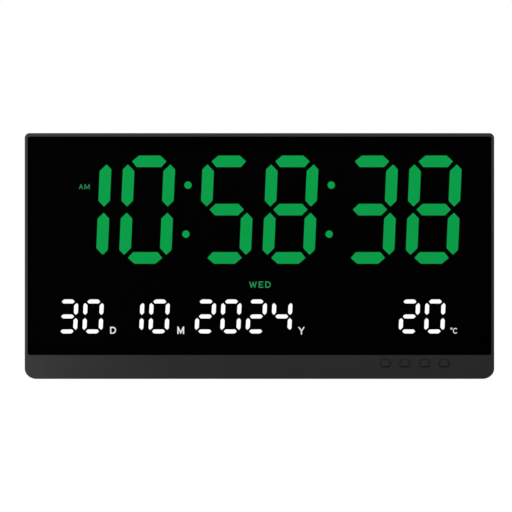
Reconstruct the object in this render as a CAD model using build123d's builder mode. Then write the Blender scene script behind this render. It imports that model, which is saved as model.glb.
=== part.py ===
"""Wall-hung digital clock: smoked front panel, leaning seven-bar figures, four chin keys, rear cover."""

import os
from math import radians, tan

from build123d import *

os.makedirs("parts", exist_ok=True)

# Sizes are millimetres and degrees. X runs right and Z up as the clock is seen from the front, and Y runs
# back to the wall. The origin is on the wall, midway between the entry holes of the two keyholes.

# Case outline, seen from the front
CASE_WIDTH = 380.0
CASE_HEIGHT = 199.0
TOP_CORNER_RADIUS = 4.0
BOTTOM_CORNER_WIDTH = 9.5
BOTTOM_CORNER_HEIGHT = 8.4
SIDE_BORDER = 2.3
TOP_BORDER = 2.8
CHIN_HEIGHT = 19.3
OPENING_RADIUS = 2.0
RIM_RADIUS = 1.1

# Front frame, from its rim back
FRAME_DEPTH = 17.0
CHIN_WALL = 2.4
CHIN_SHELF = 1.8
CHIN_RIB_THICKNESS = 1.2
CHIN_RIB_PITCH = 36.0
CHIN_RIB_COUNT = 6
CHIN_RIB_X = -75.0
CHIN_RIB_DEPTH = 9.0
LEDGE_WIDTH = 8.0
LEDGE_THICKNESS = 2.0

# Smoked panel and the tape that holds it on the ledge
PANEL_RECESS = 0.5
PANEL_THICKNESS = 2.0
PANEL_CLEARANCE = 0.15
PANEL_BEVEL = 0.35
TAPE_THICKNESS = 0.4
TAPE_WIDTH = 5.0
TAPE_MARGIN = 1.0

# Reflector with one light well behind each bar
REFLECTOR_GAP = 0.2
REFLECTOR_CLEARANCE = 0.7
REFLECTOR_PLATE = 2.0
REFLECTOR_WALL = 2.0
WELL_WALL = 2.2
BAR_THICKNESS = 1.5

# Display layout: places about the middle of the panel, for a window of this size behind it
LAYOUT_WIDTH = 359.4
LAYOUT_HEIGHT = 160.9

# Time figures: sizes run between the centre lines of the bars
TIME_TEXT = ("10", "58", "38")
TIME_HEIGHT = 78.2
TIME_WIDTH = 32.9
TIME_STROKE = 9.4
TIME_BAR_GAP = 2.5
TIME_TRIM = 0.7
TIME_PITCH = 51.6
TIME_PAIR_PITCH = 116.0
TIME_X = -0.7
TIME_Z = 29.3
DOT_RADIUS = 3.0
DOT_SPACING = 39.7

# Date and temperature figures
DAY_TEXT = "30"
MONTH_TEXT = "10"
YEAR_TEXT = "2024"
TEMPERATURE_TEXT = "20"
DATE_HEIGHT = 24.3
DATE_WIDTH = 13.1
DATE_STROKE = 3.25
DATE_BAR_GAP = 1.3
DATE_TRIM = 0.3
DATE_PITCH = 20.63
DAY_X = -145.0
MONTH_X = -91.5
YEAR_X = -12.8
TEMPERATURE_X = 131.7
DATE_Z = -57.2
LEAN = 2.48

# Lit legends: width and height of the window, and where each one sits
LEGEND_WIDTH = 11.5
LEGEND_HEIGHT = 7.6
WEEKDAY_WIDTH = 20.0
WEEKDAY_PITCH = 42.0
WEEKDAY_Z = -31.55
WEEKDAY_COUNT = 7
NOON_X = -141.0
NOON_Z = 47.75
NOON_STEP = 36.9
DAY_LEGEND_X = -118.1
MONTH_LEGEND_X = -63.4
YEAR_LEGEND_X = 34.3
DEGREE_LEGEND_X = 157.6
DATE_LEGEND_Z = -68.55
DATE_LEGEND_WIDTH = 8.6
LEGEND_CORNER = 0.8

# Display board and what is soldered to it
BOARD_THICKNESS = 1.6
BOARD_COVER_ROOM = 2.9
BOARD_CLEARANCE = 1.2
BOARD_RADIUS = 2.0
BOSS_CLEARANCE = 1.2
TIME_LED = 3.0
DATE_LED = 1.3
LED_HEIGHT = 0.8
CHIP_SIZE = 12.0
CHIP_HEIGHT = 1.6
CHIP_X = 8.0
CHIP_Z = -12.0
CHIP_BEVEL = 0.25
CHIP_MARK_INSET = 2.0
CHIP_MARK_RADIUS = 0.8
CHIP_MARK_DEPTH = 0.2
DRIVER_LENGTH = 13.0
DRIVER_WIDTH = 7.5
DRIVER_HEIGHT = 2.2
DRIVER_PITCH = 60.0
DRIVER_COUNT = 4
DRIVER_Z = 18.0
CRYSTAL_LENGTH = 11.0
CRYSTAL_WIDTH = 4.6
CRYSTAL_HEIGHT = 3.6
CRYSTAL_FOOT = 0.5
CRYSTAL_X = 24.0
CRYSTAL_Z = -14.0
CAPACITOR_RADIUS = 4.0
CAPACITOR_HEIGHT = 9.0
CAPACITOR_GROOVE = 0.4
CAPACITOR_GROOVE_HEIGHT = 1.4
CAPACITOR_X = -20.0
CAPACITOR_Z = -48.0
BUZZER_RADIUS = 6.0
BUZZER_HEIGHT = 8.5
BUZZER_HOLE_RADIUS = 1.0
BUZZER_HOLE_DEPTH = 3.0
BUZZER_EDGE = 0.6
BUZZER_X = 72.0
BUZZER_Z = -22.0
SENSOR_RADIUS = 1.7
SENSOR_LEAD_RADIUS = 0.3
SENSOR_LEAD_PITCH = 2.0
SENSOR_LEAD_LENGTH = 4.0
SENSOR_X = 150.0
SENSOR_Z = -52.0

# Keys, the switches behind them and their board
KEY_NAMES = ("set", "down", "up", "mode")
KEY_WIDTH = 7.7
KEY_HEIGHT = 5.1
KEY_RADIUS = 2.1
KEY_PITCH = 15.9
KEY_END_DISTANCE = 64.4
KEY_RISE = 12.7
KEY_PROUD = 0.7
KEY_EDGE = 0.45
KEY_CLEARANCE = 0.4
KEY_FLANGE_WIDTH = 1.0
KEY_FLANGE_THICKNESS = 1.0
KEY_SEAT_GAP = 0.1
KEY_POST_RADIUS = 1.6
KEY_POST_LENGTH = 2.0
KEY_TRAVEL = 0.5
SWITCH_SIZE = 6.0
SWITCH_HEIGHT = 3.5
SWITCH_BEVEL = 0.4
PLUNGER_RADIUS = 1.7
PLUNGER_CLEARANCE = 0.1
PLUNGER_PROUD = 1.0
PLUNGER_DEEP = 0.6
KEY_BOARD_THICKNESS = 1.6
KEY_BOARD_MARGIN = 18.0
KEY_BOARD_HEIGHT = 10.5
KEY_SCREW_INSET = 4.0
KEY_STANDOFF_RADIUS = 2.8

# Flat cable from the key board to the display board
CABLE_WIDTH = 8.0
CABLE_THICKNESS = 0.9
CABLE_RISE = 0.9
CONNECTOR_WIDTH = 11.0
CONNECTOR_LENGTH = 5.0
CONNECTOR_COVER = 1.0
CONNECTOR_EDGE = 0.4
CABLE_LIFT = 1.0
CABLE_INLET_Z = 4.0

# Screws and the bosses that take them
COVER_BOSS_RADIUS = 3.4
COVER_BOSS_INSET = 5.5
COVER_BOSS_BOTTOM_INSET = 15.0
COVER_SCREW_RADIUS = 1.45
COVER_SCREW_LENGTH = 10.0
COVER_HEAD_RADIUS = 2.7
COVER_HEAD_HEIGHT = 1.9
COVER_HEAD_SINK = 1.2
BOARD_SCREW_RADIUS = 1.05
BOARD_SCREW_LENGTH = 5.5
BOARD_HEAD_RADIUS = 2.2
BOARD_HEAD_HEIGHT = 1.5
STANDOFF_RADIUS = 3.0
STANDOFF_INSET = 4.2
STANDOFF_X = 95.0
SCREW_CLEARANCE = 0.25
PILOT_CLEARANCE = 0.1
PILOT_END = 1.0
HEAD_CLEARANCE = 0.3
HEAD_EDGE = 0.8

# Rear cover: a flange flush with the frame, and a raised tray that meets the wall
FLANGE_THICKNESS = 2.5
FLANGE_EDGE = 0.8
TRAY_DEPTH = 10.5
TRAY_SIDE_MARGIN = 14.0
TRAY_TOP_MARGIN = 13.0
TRAY_BOTTOM_MARGIN = 30.0
TRAY_RADIUS = 9.0
TRAY_DRAFT = 8.0
TRAY_EDGE = 2.0
TRAY_WALL = 2.2
REAR_WALL = 2.5
LIP_DEPTH = 1.8
LIP_THICKNESS = 1.4
LIP_CLEARANCE = 0.2
VENT_LENGTH = 22.0
VENT_WIDTH = 2.4
VENT_PITCH = 7.0
VENT_COUNT = 11
UPPER_VENT_Z = 58.0
LOWER_VENT_Z = -46.0
SOUND_HOLE_RADIUS = 0.9
SOUND_HOLE_RING = 4.0
SOUND_HOLE_COUNT = 6

# Keyholes that hook over two wall screws
KEYHOLE_SPACING = 200.0
KEYHOLE_DROP = 47.5
KEYHOLE_RADIUS = 4.6
KEYHOLE_SLOT = 4.6
KEYHOLE_TRAVEL = 9.0
KEYHOLE_POCKET = 5.5
KEYHOLE_WALL = 1.8

# Coin cell, its holder and the turn-to-lock cap over it
BATTERY_X = -110.0
BATTERY_Z = -22.0
CELL_RADIUS = 10.0
CELL_HEIGHT = 3.2
CELL_EDGE = 0.3
CELL_CLEARANCE = 0.3
HOLDER_BASE = 6.0
HOLDER_WALL = 1.5
HOLDER_RIM = 2.6
HOLDER_GATE = 9.0
CONTACT_RADIUS = 3.5
CONTACT_THICKNESS = 0.3
CONTACT_WIDTH = 4.0
CAP_RADIUS = 16.0
CAP_THICKNESS = 1.4
CAP_SINK = 0.2
CAP_CLEARANCE = 0.3
CAP_SEAT_GAP = 0.1
CAP_SEAT = 1.8
CAP_HUB_RADIUS = 12.5
CAP_HUB_WALL = 1.6
CAP_LUG_RADIUS = 14.6
CAP_LUG_THICKNESS = 1.2
CAP_LUG_WIDTH = 7.5
CAP_LUG_SLACK = 0.6
CAP_LUG_GAP = 0.2
CAP_TURN = 60.0
CAP_EDGE = 0.4
COIN_SLOT_LENGTH = 18.0
COIN_SLOT_WIDTH = 2.4
COIN_SLOT_DEPTH = 0.9
WELL_TUBE_WALL = 1.5
WELL_TUBE_GAP = 1.0

# Power inlet: a socket that faces down into a plug bay, which is open at the back and has a cord exit below
JACK_X = -58.0
JACK_WIDTH = 9.0
JACK_LENGTH = 14.0
JACK_HEIGHT = 10.5
JACK_AXIS_HEIGHT = 6.5
JACK_BORE_RADIUS = 3.1
JACK_BORE_DEPTH = 9.5
JACK_PIN_RADIUS = 1.0
JACK_PIN_SETBACK = 0.8
JACK_PIN_EDGE = 0.5
JACK_GAP = 0.3
JACK_EDGE = 1.2
JACK_FACE_LENGTH = 3.4
JACK_WAIST = 0.7
BAY_WIDTH = 16.0
BAY_LENGTH = 28.0
BAY_WALL = 1.6
BAY_FLOOR_HEIGHT = 1.9
BAY_BOARD_GAP = 0.4
BAY_CORNER = 1.5
BARREL_RADIUS = 3.6
CORD_EXIT = 6.0

# Places of the keys and keyholes about the middle of the case
key_x = CASE_WIDTH / 2 - KEY_END_DISTANCE
key_z = KEY_RISE - CASE_HEIGHT / 2
keyhole_rise = CASE_HEIGHT / 2 - KEYHOLE_DROP

# Depths behind the front rim that follow from the sizes above
case_depth = FRAME_DEPTH + FLANGE_THICKNESS + TRAY_DEPTH
panel_back = PANEL_RECESS + PANEL_THICKNESS
ledge_front = panel_back + TAPE_THICKNESS
ledge_back = ledge_front + LEDGE_THICKNESS
reflector_front = panel_back + REFLECTOR_GAP
board_back = FRAME_DEPTH - BOARD_COVER_ROOM
reflector_back = board_back - BOARD_THICKNESS
reflector_depth = reflector_back - reflector_front
flange_back = FRAME_DEPTH + FLANGE_THICKNESS
rear_inside = case_depth - REAR_WALL
key_flange_front = CHIN_WALL + KEY_SEAT_GAP
key_flange_back = key_flange_front + KEY_FLANGE_THICKNESS
plunger_front = key_flange_back + KEY_POST_LENGTH
switch_front = plunger_front + PLUNGER_PROUD
key_board_front = switch_front + SWITCH_HEIGHT
key_board_back = key_board_front + KEY_BOARD_THICKNESS
holder_floor = board_back + HOLDER_BASE
holder_radius = CELL_RADIUS + CELL_CLEARANCE + HOLDER_WALL
cell_front = holder_floor + CONTACT_THICKNESS
cap_front = case_depth - CAP_SINK - CAP_THICKNESS
seat_back = cap_front - CAP_SEAT_GAP
seat_front = seat_back - CAP_SEAT
lug_back = seat_front - CAP_LUG_GAP
lug_front = lug_back - CAP_LUG_THICKNESS

# Outlines that several pieces share, about the middle of the case
opening_width = CASE_WIDTH - 2 * SIDE_BORDER
opening_height = CASE_HEIGHT - TOP_BORDER - CHIN_HEIGHT
opening_z = (CHIN_HEIGHT - TOP_BORDER) / 2
opening_top = opening_z + opening_height / 2
opening_bottom = opening_z - opening_height / 2
window_width = opening_width - 2 * LEDGE_WIDTH
window_height = opening_height - 2 * LEDGE_WIDTH
reflector_width = window_width - 2 * REFLECTOR_CLEARANCE
reflector_height = window_height - 2 * REFLECTOR_CLEARANCE
board_width = opening_width - 2 * BOARD_CLEARANCE
board_height = opening_height - 2 * BOARD_CLEARANCE
tray_width = CASE_WIDTH - 2 * TRAY_SIDE_MARGIN
tray_height = CASE_HEIGHT - TRAY_TOP_MARGIN - TRAY_BOTTOM_MARGIN
tray_z = (TRAY_BOTTOM_MARGIN - TRAY_TOP_MARGIN) / 2
tray_bottom = tray_z - tray_height / 2
key_board_width = (len(KEY_NAMES) - 1) * KEY_PITCH + 2 * KEY_BOARD_MARGIN
key_screw_reach = key_board_width / 2 - KEY_SCREW_INSET
tray_lean = TRAY_DEPTH * tan(radians(TRAY_DRAFT))
bay_bottom = tray_bottom + tray_lean + TRAY_WALL
bay_top = bay_bottom + BAY_LENGTH
bay_floor = board_back + BAY_FLOOR_HEIGHT
jack_face_z = bay_top + BAY_WALL + JACK_GAP
lean_ratio = tan(radians(LEAN))
across = window_width / LAYOUT_WIDTH
upward = window_height / LAYOUT_HEIGHT
finer = min(across, upward)
dot_radius = DOT_RADIUS * finer

cover_boss_x = CASE_WIDTH / 2 - COVER_BOSS_INSET
cover_boss_z = CASE_HEIGHT / 2 - COVER_BOSS_INSET
lower_boss_x = CASE_WIDTH / 2 - COVER_BOSS_BOTTOM_INSET
upper_bosses = [(-cover_boss_x, cover_boss_z), (0, cover_boss_z), (cover_boss_x, cover_boss_z)]
lower_bosses = [(-lower_boss_x, -cover_boss_z), (0, -cover_boss_z), (lower_boss_x, -cover_boss_z)]
standoff_side = opening_width / 2 - STANDOFF_INSET
standoff_x = STANDOFF_X * across
standoffs = [
    (-standoff_x, opening_top - STANDOFF_INSET),
    (standoff_x, opening_top - STANDOFF_INSET),
    (-standoff_x, opening_bottom + STANDOFF_INSET),
    (standoff_x, opening_bottom + STANDOFF_INSET),
    (-standoff_side, opening_z),
    (standoff_side, opening_z),
]
key_standoffs = [(key_x - key_screw_reach, key_z), (key_x + key_screw_reach, key_z)]

# Bars that light for each figure, lettered clockwise from the top with the middle bar last
LIT_BARS = {
    "0": "abcdef",
    "1": "bc",
    "2": "abdeg",
    "3": "abcdg",
    "4": "bcfg",
    "5": "acdfg",
    "6": "acdefg",
    "7": "abc",
    "8": "abcdefg",
    "9": "abcdfg",
}


def at_depth(depth):
    """Plane that faces the viewer, this far behind the front rim and centred on the case."""
    return Plane(origin=(0, depth - case_depth, -keyhole_rise), x_dir=(1, 0, 0), z_dir=(0, -1, 0))


def side_point(depth, z):
    """Point of a side view, from a depth behind the rim and a height about the middle of the case."""
    return (depth - case_depth, z - keyhole_rise)


def draw_case_outline(inset):
    """Draw the case outline in the active sketch, drawn in from the edge by the inset."""
    side = CASE_WIDTH / 2 - inset
    top = CASE_HEIGHT / 2 - inset
    radius = TOP_CORNER_RADIUS - inset
    wide = BOTTOM_CORNER_WIDTH - inset
    high = BOTTOM_CORNER_HEIGHT - inset
    with BuildLine() as outline:
        Line((wide - side, -top), (side - wide, -top))
        EllipticalCenterArc((side - wide, high - top), wide, high, 270, arc_size=90)
        Line((side, high - top), (side, top - radius))
        CenterArc((side - radius, top - radius), radius, 0, 90)
        Line((side - radius, top), (radius - side, top))
        CenterArc((radius - side, top - radius), radius, 90, 90)
        Line((-side, top - radius), (-side, high - top))
        EllipticalCenterArc((wide - side, high - top), wide, high, 180, arc_size=90)
    make_face(outline.edges())


def draw_circles(places, radius):
    """Draw one circle at each place in the active sketch."""
    with Locations(*places):
        Circle(radius)


def draw_lugs(radius, width, turn):
    """Draw the two lugs of the battery cap as one bar with rounded ends, turned in the active sketch."""
    with Locations((battery_x, battery_z)):
        Rectangle(2 * radius, width, rotation=turn)
        Circle(radius, mode=Mode.INTERSECT)


def figure_bars(height, width, stroke, gap, trim):
    """Corner points of the seven bars of an upright figure, by letter, about the figure's centre."""
    half = stroke * finer / 2
    side = width * across / 2
    top = height * upward / 2
    gap = gap * finer
    trim = trim * finer
    tip = side - gap
    upper = [
        (-tip, top),
        (-tip + half + trim, top + half),
        (tip - half - trim, top + half),
        (tip, top),
        (tip - half + trim, top - half),
        (-tip + half - trim, top - half),
    ]
    middle = [
        (-tip, 0),
        (-tip + half, half),
        (tip - half, half),
        (tip, 0),
        (tip - half, -half),
        (-tip + half, -half),
    ]
    right = [
        (side, gap),
        (side + half, gap + half),
        (side + half, top - gap - half + trim),
        (side + trim, top - gap),
        (side - half, top - gap - half - trim),
        (side - half, gap + half),
    ]
    return {
        "a": upper,
        "b": right,
        "c": [(x, -z) for x, z in right],
        "d": [(x, -z) for x, z in upper],
        "e": [(-x, -z) for x, z in right],
        "f": [(-x, z) for x, z in right],
        "g": middle,
    }


def place_row(text, middle, pitch, z):
    """Each item of a text or list with its place, spaced evenly about the middle."""
    first = middle - (len(text) - 1) / 2 * pitch
    return [(item, first + number * pitch, z) for number, item in enumerate(text)]


def on_panel(x, z):
    """Place on the display from its place in the layout."""
    return (x * across, opening_z + z * upward)


def on_board(x, z):
    """Place on the back of the display board, spread with the board about the middle of the case."""
    return (x * across, z * upward)


def place_figures(text, x, pitch, z):
    """Each figure of a text with its place on the display."""
    return [(item, *on_panel(row_x, row_z)) for item, row_x, row_z in place_row(text, x, pitch, z)]


def split_bars(figures, bars):
    """Leaning bars of placed figures, as corner points, in a lit list and a dark list."""
    lit = []
    dark = []
    for character, x, z in figures:
        for letter, corners in bars.items():
            leaning = [(x + px + lean_ratio * pz, z + pz) for px, pz in corners]
            if letter in LIT_BARS[character]:
                lit.append(leaning)
            else:
                dark.append(leaning)
    return lit, dark


def bar_middle(corners):
    """Middle of a bar."""
    return (
        sum(x for x, z in corners) / len(corners),
        sum(z for x, z in corners) / len(corners),
    )


def draw_bars(bars):
    """Draw each bar in the active sketch."""
    for corners in bars:
        Polygon(*corners, align=None)


time_pairs = place_row(TIME_TEXT, TIME_X, TIME_PAIR_PITCH, TIME_Z)
time_figures = []
for pair, x, z in time_pairs:
    time_figures += place_figures(pair, x, TIME_PITCH, z)
date_figures = (
    place_figures(DAY_TEXT, DAY_X, DATE_PITCH, DATE_Z)
    + place_figures(MONTH_TEXT, MONTH_X, DATE_PITCH, DATE_Z)
    + place_figures(YEAR_TEXT, YEAR_X, DATE_PITCH, DATE_Z)
    + place_figures(TEMPERATURE_TEXT, TEMPERATURE_X, DATE_PITCH, DATE_Z)
)
time_bars = figure_bars(TIME_HEIGHT, TIME_WIDTH, TIME_STROKE, TIME_BAR_GAP, TIME_TRIM)
date_bars = figure_bars(DATE_HEIGHT, DATE_WIDTH, DATE_STROKE, DATE_BAR_GAP, DATE_TRIM)
time_lit, time_dark = split_bars(time_figures, time_bars)
date_lit, date_dark = split_bars(date_figures, date_bars)
dots = []
for left_pair, right_pair in zip(time_pairs, time_pairs[1:]):
    for rise in (DOT_SPACING / 2, -DOT_SPACING / 2):
        x, z = on_panel((left_pair[1] + right_pair[1]) / 2, TIME_Z + rise)
        dots.append((x + lean_ratio * rise * upward, z))
noon_legends = [on_panel(NOON_X, NOON_Z), on_panel(NOON_X, NOON_Z - NOON_STEP)]
weekday_row = place_row(range(WEEKDAY_COUNT), 0, WEEKDAY_PITCH, WEEKDAY_Z)
weekday_legends = [on_panel(x, z) for day, x, z in weekday_row]
date_legend_x = (DAY_LEGEND_X, MONTH_LEGEND_X, YEAR_LEGEND_X, DEGREE_LEGEND_X)
date_legends = [on_panel(x, DATE_LEGEND_Z) for x in date_legend_x]
key_places = [(x, z) for name, x, z in place_row(KEY_NAMES, key_x, KEY_PITCH, key_z)]
chip_x, chip_z = on_board(CHIP_X, CHIP_Z)
crystal_x, crystal_z = on_board(CRYSTAL_X, CRYSTAL_Z)
capacitor_x, capacitor_z = on_board(CAPACITOR_X, CAPACITOR_Z)
buzzer_x, buzzer_z = on_board(BUZZER_X, BUZZER_Z)
sensor_x, sensor_z = on_board(SENSOR_X, SENSOR_Z)
battery_x, battery_z = on_board(BATTERY_X, BATTERY_Z)
jack_x = JACK_X * across


def draw_legends(grow):
    """Draw the legend windows in the active sketch, grown all round by this much."""
    corner = LEGEND_CORNER * finer + grow
    height = LEGEND_HEIGHT * upward + 2 * grow
    with Locations(*noon_legends):
        RectangleRounded(LEGEND_WIDTH * across + 2 * grow, height, corner)
    with Locations(*weekday_legends):
        RectangleRounded(WEEKDAY_WIDTH * across + 2 * grow, height, corner)
    with Locations(*date_legends):
        RectangleRounded(DATE_LEGEND_WIDTH * across + 2 * grow, height, corner)


def draw_block(width, height, stroke):
    """Draw the block that holds the wells of one leaning figure in the active sketch."""
    tall = height * upward
    thick = stroke * finer + 2 * WELL_WALL
    Rectangle(width * across + lean_ratio * tall + thick, tall + thick)


# Front frame: rim, ledge for the panel, chin with its key holes, bosses and standoffs
with BuildPart() as front_frame:
    with BuildSketch(at_depth(FRAME_DEPTH)):
        draw_case_outline(0)
    extrude(amount=FRAME_DEPTH)
    fillet(front_frame.faces().sort_by(Axis.Y)[0].edges(), RIM_RADIUS)
    with BuildSketch(at_depth(ledge_front)):
        with Locations((0, opening_z)):
            RectangleRounded(opening_width, opening_height, OPENING_RADIUS)
    extrude(amount=ledge_front, mode=Mode.SUBTRACT)
    with BuildSketch(at_depth(FRAME_DEPTH)):
        draw_case_outline(SIDE_BORDER)
    extrude(amount=FRAME_DEPTH - ledge_back, mode=Mode.SUBTRACT)
    with BuildSketch(at_depth(ledge_back)):
        with Locations((0, opening_z)):
            RectangleRounded(window_width, window_height, OPENING_RADIUS)
    extrude(amount=LEDGE_THICKNESS, mode=Mode.SUBTRACT)
    with BuildSketch(at_depth(ledge_back)):
        draw_case_outline(SIDE_BORDER)
        with Locations((0, opening_bottom - CHIN_SHELF)):
            Rectangle(CASE_WIDTH, CASE_HEIGHT, align=(Align.CENTER, Align.MAX), mode=Mode.INTERSECT)
    extrude(amount=ledge_back - CHIN_WALL, mode=Mode.SUBTRACT)
    with BuildSketch(at_depth(CHIN_WALL)):
        draw_circles(lower_bosses, COVER_BOSS_RADIUS)
    extrude(amount=CHIN_WALL - FRAME_DEPTH)
    with BuildSketch(at_depth(CHIN_WALL)):
        draw_circles(key_standoffs, KEY_STANDOFF_RADIUS)
    extrude(amount=CHIN_WALL - key_board_front)
    with BuildSketch(at_depth(ledge_back)):
        draw_circles(upper_bosses, COVER_BOSS_RADIUS)
    extrude(amount=ledge_back - FRAME_DEPTH)
    with BuildSketch(at_depth(ledge_back)):
        draw_circles(standoffs, STANDOFF_RADIUS)
    extrude(amount=ledge_back - reflector_back)
    with BuildSketch(at_depth(CHIN_RIB_DEPTH)):
        with Locations((CHIN_RIB_X * across, -CASE_HEIGHT / 2 + SIDE_BORDER)):
            with GridLocations(CHIN_RIB_PITCH * across, 0, CHIN_RIB_COUNT, 1):
                Rectangle(
                    CHIN_RIB_THICKNESS,
                    CHIN_HEIGHT - CHIN_SHELF - SIDE_BORDER,
                    align=(Align.CENTER, Align.MIN),
                )
    extrude(amount=CHIN_RIB_DEPTH - CHIN_WALL)
    with BuildSketch(at_depth(FRAME_DEPTH)):
        draw_circles(upper_bosses + lower_bosses, COVER_SCREW_RADIUS + PILOT_CLEARANCE)
    extrude(amount=COVER_SCREW_LENGTH + PILOT_END, mode=Mode.SUBTRACT)
    with BuildSketch(at_depth(reflector_back)):
        draw_circles(standoffs, BOARD_SCREW_RADIUS + PILOT_CLEARANCE)
    extrude(amount=BOARD_SCREW_LENGTH, mode=Mode.SUBTRACT)
    with BuildSketch(at_depth(key_board_front)):
        draw_circles(key_standoffs, BOARD_SCREW_RADIUS + PILOT_CLEARANCE)
    extrude(amount=BOARD_SCREW_LENGTH, mode=Mode.SUBTRACT)
    with BuildSketch(at_depth(CHIN_WALL)):
        with Locations(*key_places):
            RectangleRounded(
                KEY_WIDTH + 2 * KEY_CLEARANCE, KEY_HEIGHT + 2 * KEY_CLEARANCE, KEY_RADIUS + KEY_CLEARANCE
            )
    extrude(amount=CHIN_WALL, mode=Mode.SUBTRACT)
front_frame.part.label = "front_frame"
export_step(front_frame.part, "parts/front_frame.step")

# Smoked panel that drops into the frame from the front
with BuildPart() as front_panel:
    with BuildSketch(at_depth(panel_back)):
        with Locations((0, opening_z)):
            RectangleRounded(
                opening_width - 2 * PANEL_CLEARANCE,
                opening_height - 2 * PANEL_CLEARANCE,
                OPENING_RADIUS - PANEL_CLEARANCE,
            )
    extrude(amount=PANEL_THICKNESS)
    chamfer(front_panel.faces().sort_by(Axis.Y)[0].edges(), PANEL_BEVEL)
front_panel.part.label = "front_panel"
export_step(front_panel.part, "parts/front_panel.step")

# Tape between the panel and the ledge
with BuildPart() as panel_tape:
    with BuildSketch(at_depth(ledge_front)):
        with Locations((0, opening_z)):
            Rectangle(opening_width - 2 * TAPE_MARGIN, opening_height - 2 * TAPE_MARGIN)
            Rectangle(
                opening_width - 2 * TAPE_MARGIN - 2 * TAPE_WIDTH,
                opening_height - 2 * TAPE_MARGIN - 2 * TAPE_WIDTH,
                mode=Mode.SUBTRACT,
            )
    extrude(amount=TAPE_THICKNESS)
panel_tape.part.label = "panel_tape"
export_step(panel_tape.part, "parts/panel_tape.step")

# Reflector: face plate, outer wall, a block behind each figure, and wells through to the board
with BuildPart() as reflector:
    with BuildSketch(at_depth(reflector_front + REFLECTOR_PLATE)):
        with Locations((0, opening_z)):
            RectangleRounded(reflector_width, reflector_height, OPENING_RADIUS)
    extrude(amount=REFLECTOR_PLATE)
    with BuildSketch(at_depth(reflector_back)):
        with Locations((0, opening_z)):
            RectangleRounded(reflector_width, reflector_height, OPENING_RADIUS)
            Rectangle(
                reflector_width - 2 * REFLECTOR_WALL,
                reflector_height - 2 * REFLECTOR_WALL,
                mode=Mode.SUBTRACT,
            )
        with Locations(*[(x, z) for character, x, z in time_figures]):
            draw_block(TIME_WIDTH, TIME_HEIGHT, TIME_STROKE)
        with Locations(*[(x, z) for character, x, z in date_figures]):
            draw_block(DATE_WIDTH, DATE_HEIGHT, DATE_STROKE)
        draw_circles(dots, dot_radius + WELL_WALL)
        draw_legends(WELL_WALL)
    extrude(amount=reflector_depth)
    with BuildSketch(at_depth(reflector_front)):
        draw_bars(time_lit + time_dark + date_lit + date_dark)
        draw_circles(dots, dot_radius)
        draw_legends(0)
    extrude(amount=-reflector_depth, mode=Mode.SUBTRACT)
reflector.part.label = "reflector"
export_step(reflector.part, "parts/reflector.step")

# Translucent bars cast into the mouths of the wells
with BuildPart() as time_bars_lit:
    with BuildSketch(at_depth(reflector_front)):
        draw_bars(time_lit)
        draw_circles(dots, dot_radius)
    extrude(amount=-BAR_THICKNESS)
time_bars_lit.part.label = "time_bars_lit"
export_step(time_bars_lit.part, "parts/time_bars_lit.step")

with BuildPart() as time_bars_dark:
    with BuildSketch(at_depth(reflector_front)):
        draw_bars(time_dark)
    extrude(amount=-BAR_THICKNESS)
time_bars_dark.part.label = "time_bars_dark"
export_step(time_bars_dark.part, "parts/time_bars_dark.step")

with BuildPart() as date_bars_lit:
    with BuildSketch(at_depth(reflector_front)):
        draw_bars(date_lit)
    extrude(amount=-BAR_THICKNESS)
date_bars_lit.part.label = "date_bars_lit"
export_step(date_bars_lit.part, "parts/date_bars_lit.step")

with BuildPart() as date_bars_dark:
    with BuildSketch(at_depth(reflector_front)):
        draw_bars(date_dark)
    extrude(amount=-BAR_THICKNESS)
date_bars_dark.part.label = "date_bars_dark"
export_step(date_bars_dark.part, "parts/date_bars_dark.step")

with BuildPart() as legend_bars:
    with BuildSketch(at_depth(reflector_front)):
        draw_legends(0)
    extrude(amount=-BAR_THICKNESS)
legend_bars.part.label = "legend_bars"
export_step(legend_bars.part, "parts/legend_bars.step")

# Display board, notched round the cover bosses, with the light sources on its front
with BuildPart() as led_board:
    with BuildSketch(at_depth(board_back)):
        with Locations((0, opening_z)):
            RectangleRounded(board_width, board_height, BOARD_RADIUS)
        with Locations(*upper_bosses):
            Circle(COVER_BOSS_RADIUS + BOSS_CLEARANCE, mode=Mode.SUBTRACT)
        with Locations(*standoffs):
            Circle(BOARD_SCREW_RADIUS + SCREW_CLEARANCE, mode=Mode.SUBTRACT)
    extrude(amount=BOARD_THICKNESS)
led_board.part.label = "led_board"
export_step(led_board.part, "parts/led_board.step")

with BuildPart() as green_leds:
    with BuildSketch(at_depth(reflector_back)):
        with Locations(*[bar_middle(corners) for corners in time_lit + time_dark], *dots):
            Rectangle(TIME_LED, TIME_LED)
        with Locations(*noon_legends, *weekday_legends):
            Rectangle(DATE_LED, DATE_LED)
    extrude(amount=LED_HEIGHT)
green_leds.part.label = "green_leds"
export_step(green_leds.part, "parts/green_leds.step")

with BuildPart() as white_leds:
    with BuildSketch(at_depth(reflector_back)):
        with Locations(*[bar_middle(corners) for corners in date_lit + date_dark], *date_legends):
            Rectangle(DATE_LED, DATE_LED)
    extrude(amount=LED_HEIGHT)
white_leds.part.label = "white_leds"
export_step(white_leds.part, "parts/white_leds.step")

# Parts soldered to the back of the display board
with BuildPart() as control_chip:
    with BuildSketch(at_depth(board_back)):
        with Locations((chip_x, chip_z)):
            Rectangle(CHIP_SIZE, CHIP_SIZE)
    extrude(amount=-CHIP_HEIGHT)
    chamfer(control_chip.faces().sort_by(Axis.Y)[-1].edges(), CHIP_BEVEL)
    with BuildSketch(at_depth(board_back + CHIP_HEIGHT)):
        with Locations((chip_x, chip_z)):
            with Locations((CHIP_MARK_INSET - CHIP_SIZE / 2, CHIP_SIZE / 2 - CHIP_MARK_INSET)):
                Circle(CHIP_MARK_RADIUS)
    extrude(amount=CHIP_MARK_DEPTH, mode=Mode.SUBTRACT)
control_chip.part.label = "control_chip"
export_step(control_chip.part, "parts/control_chip.step")

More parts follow.
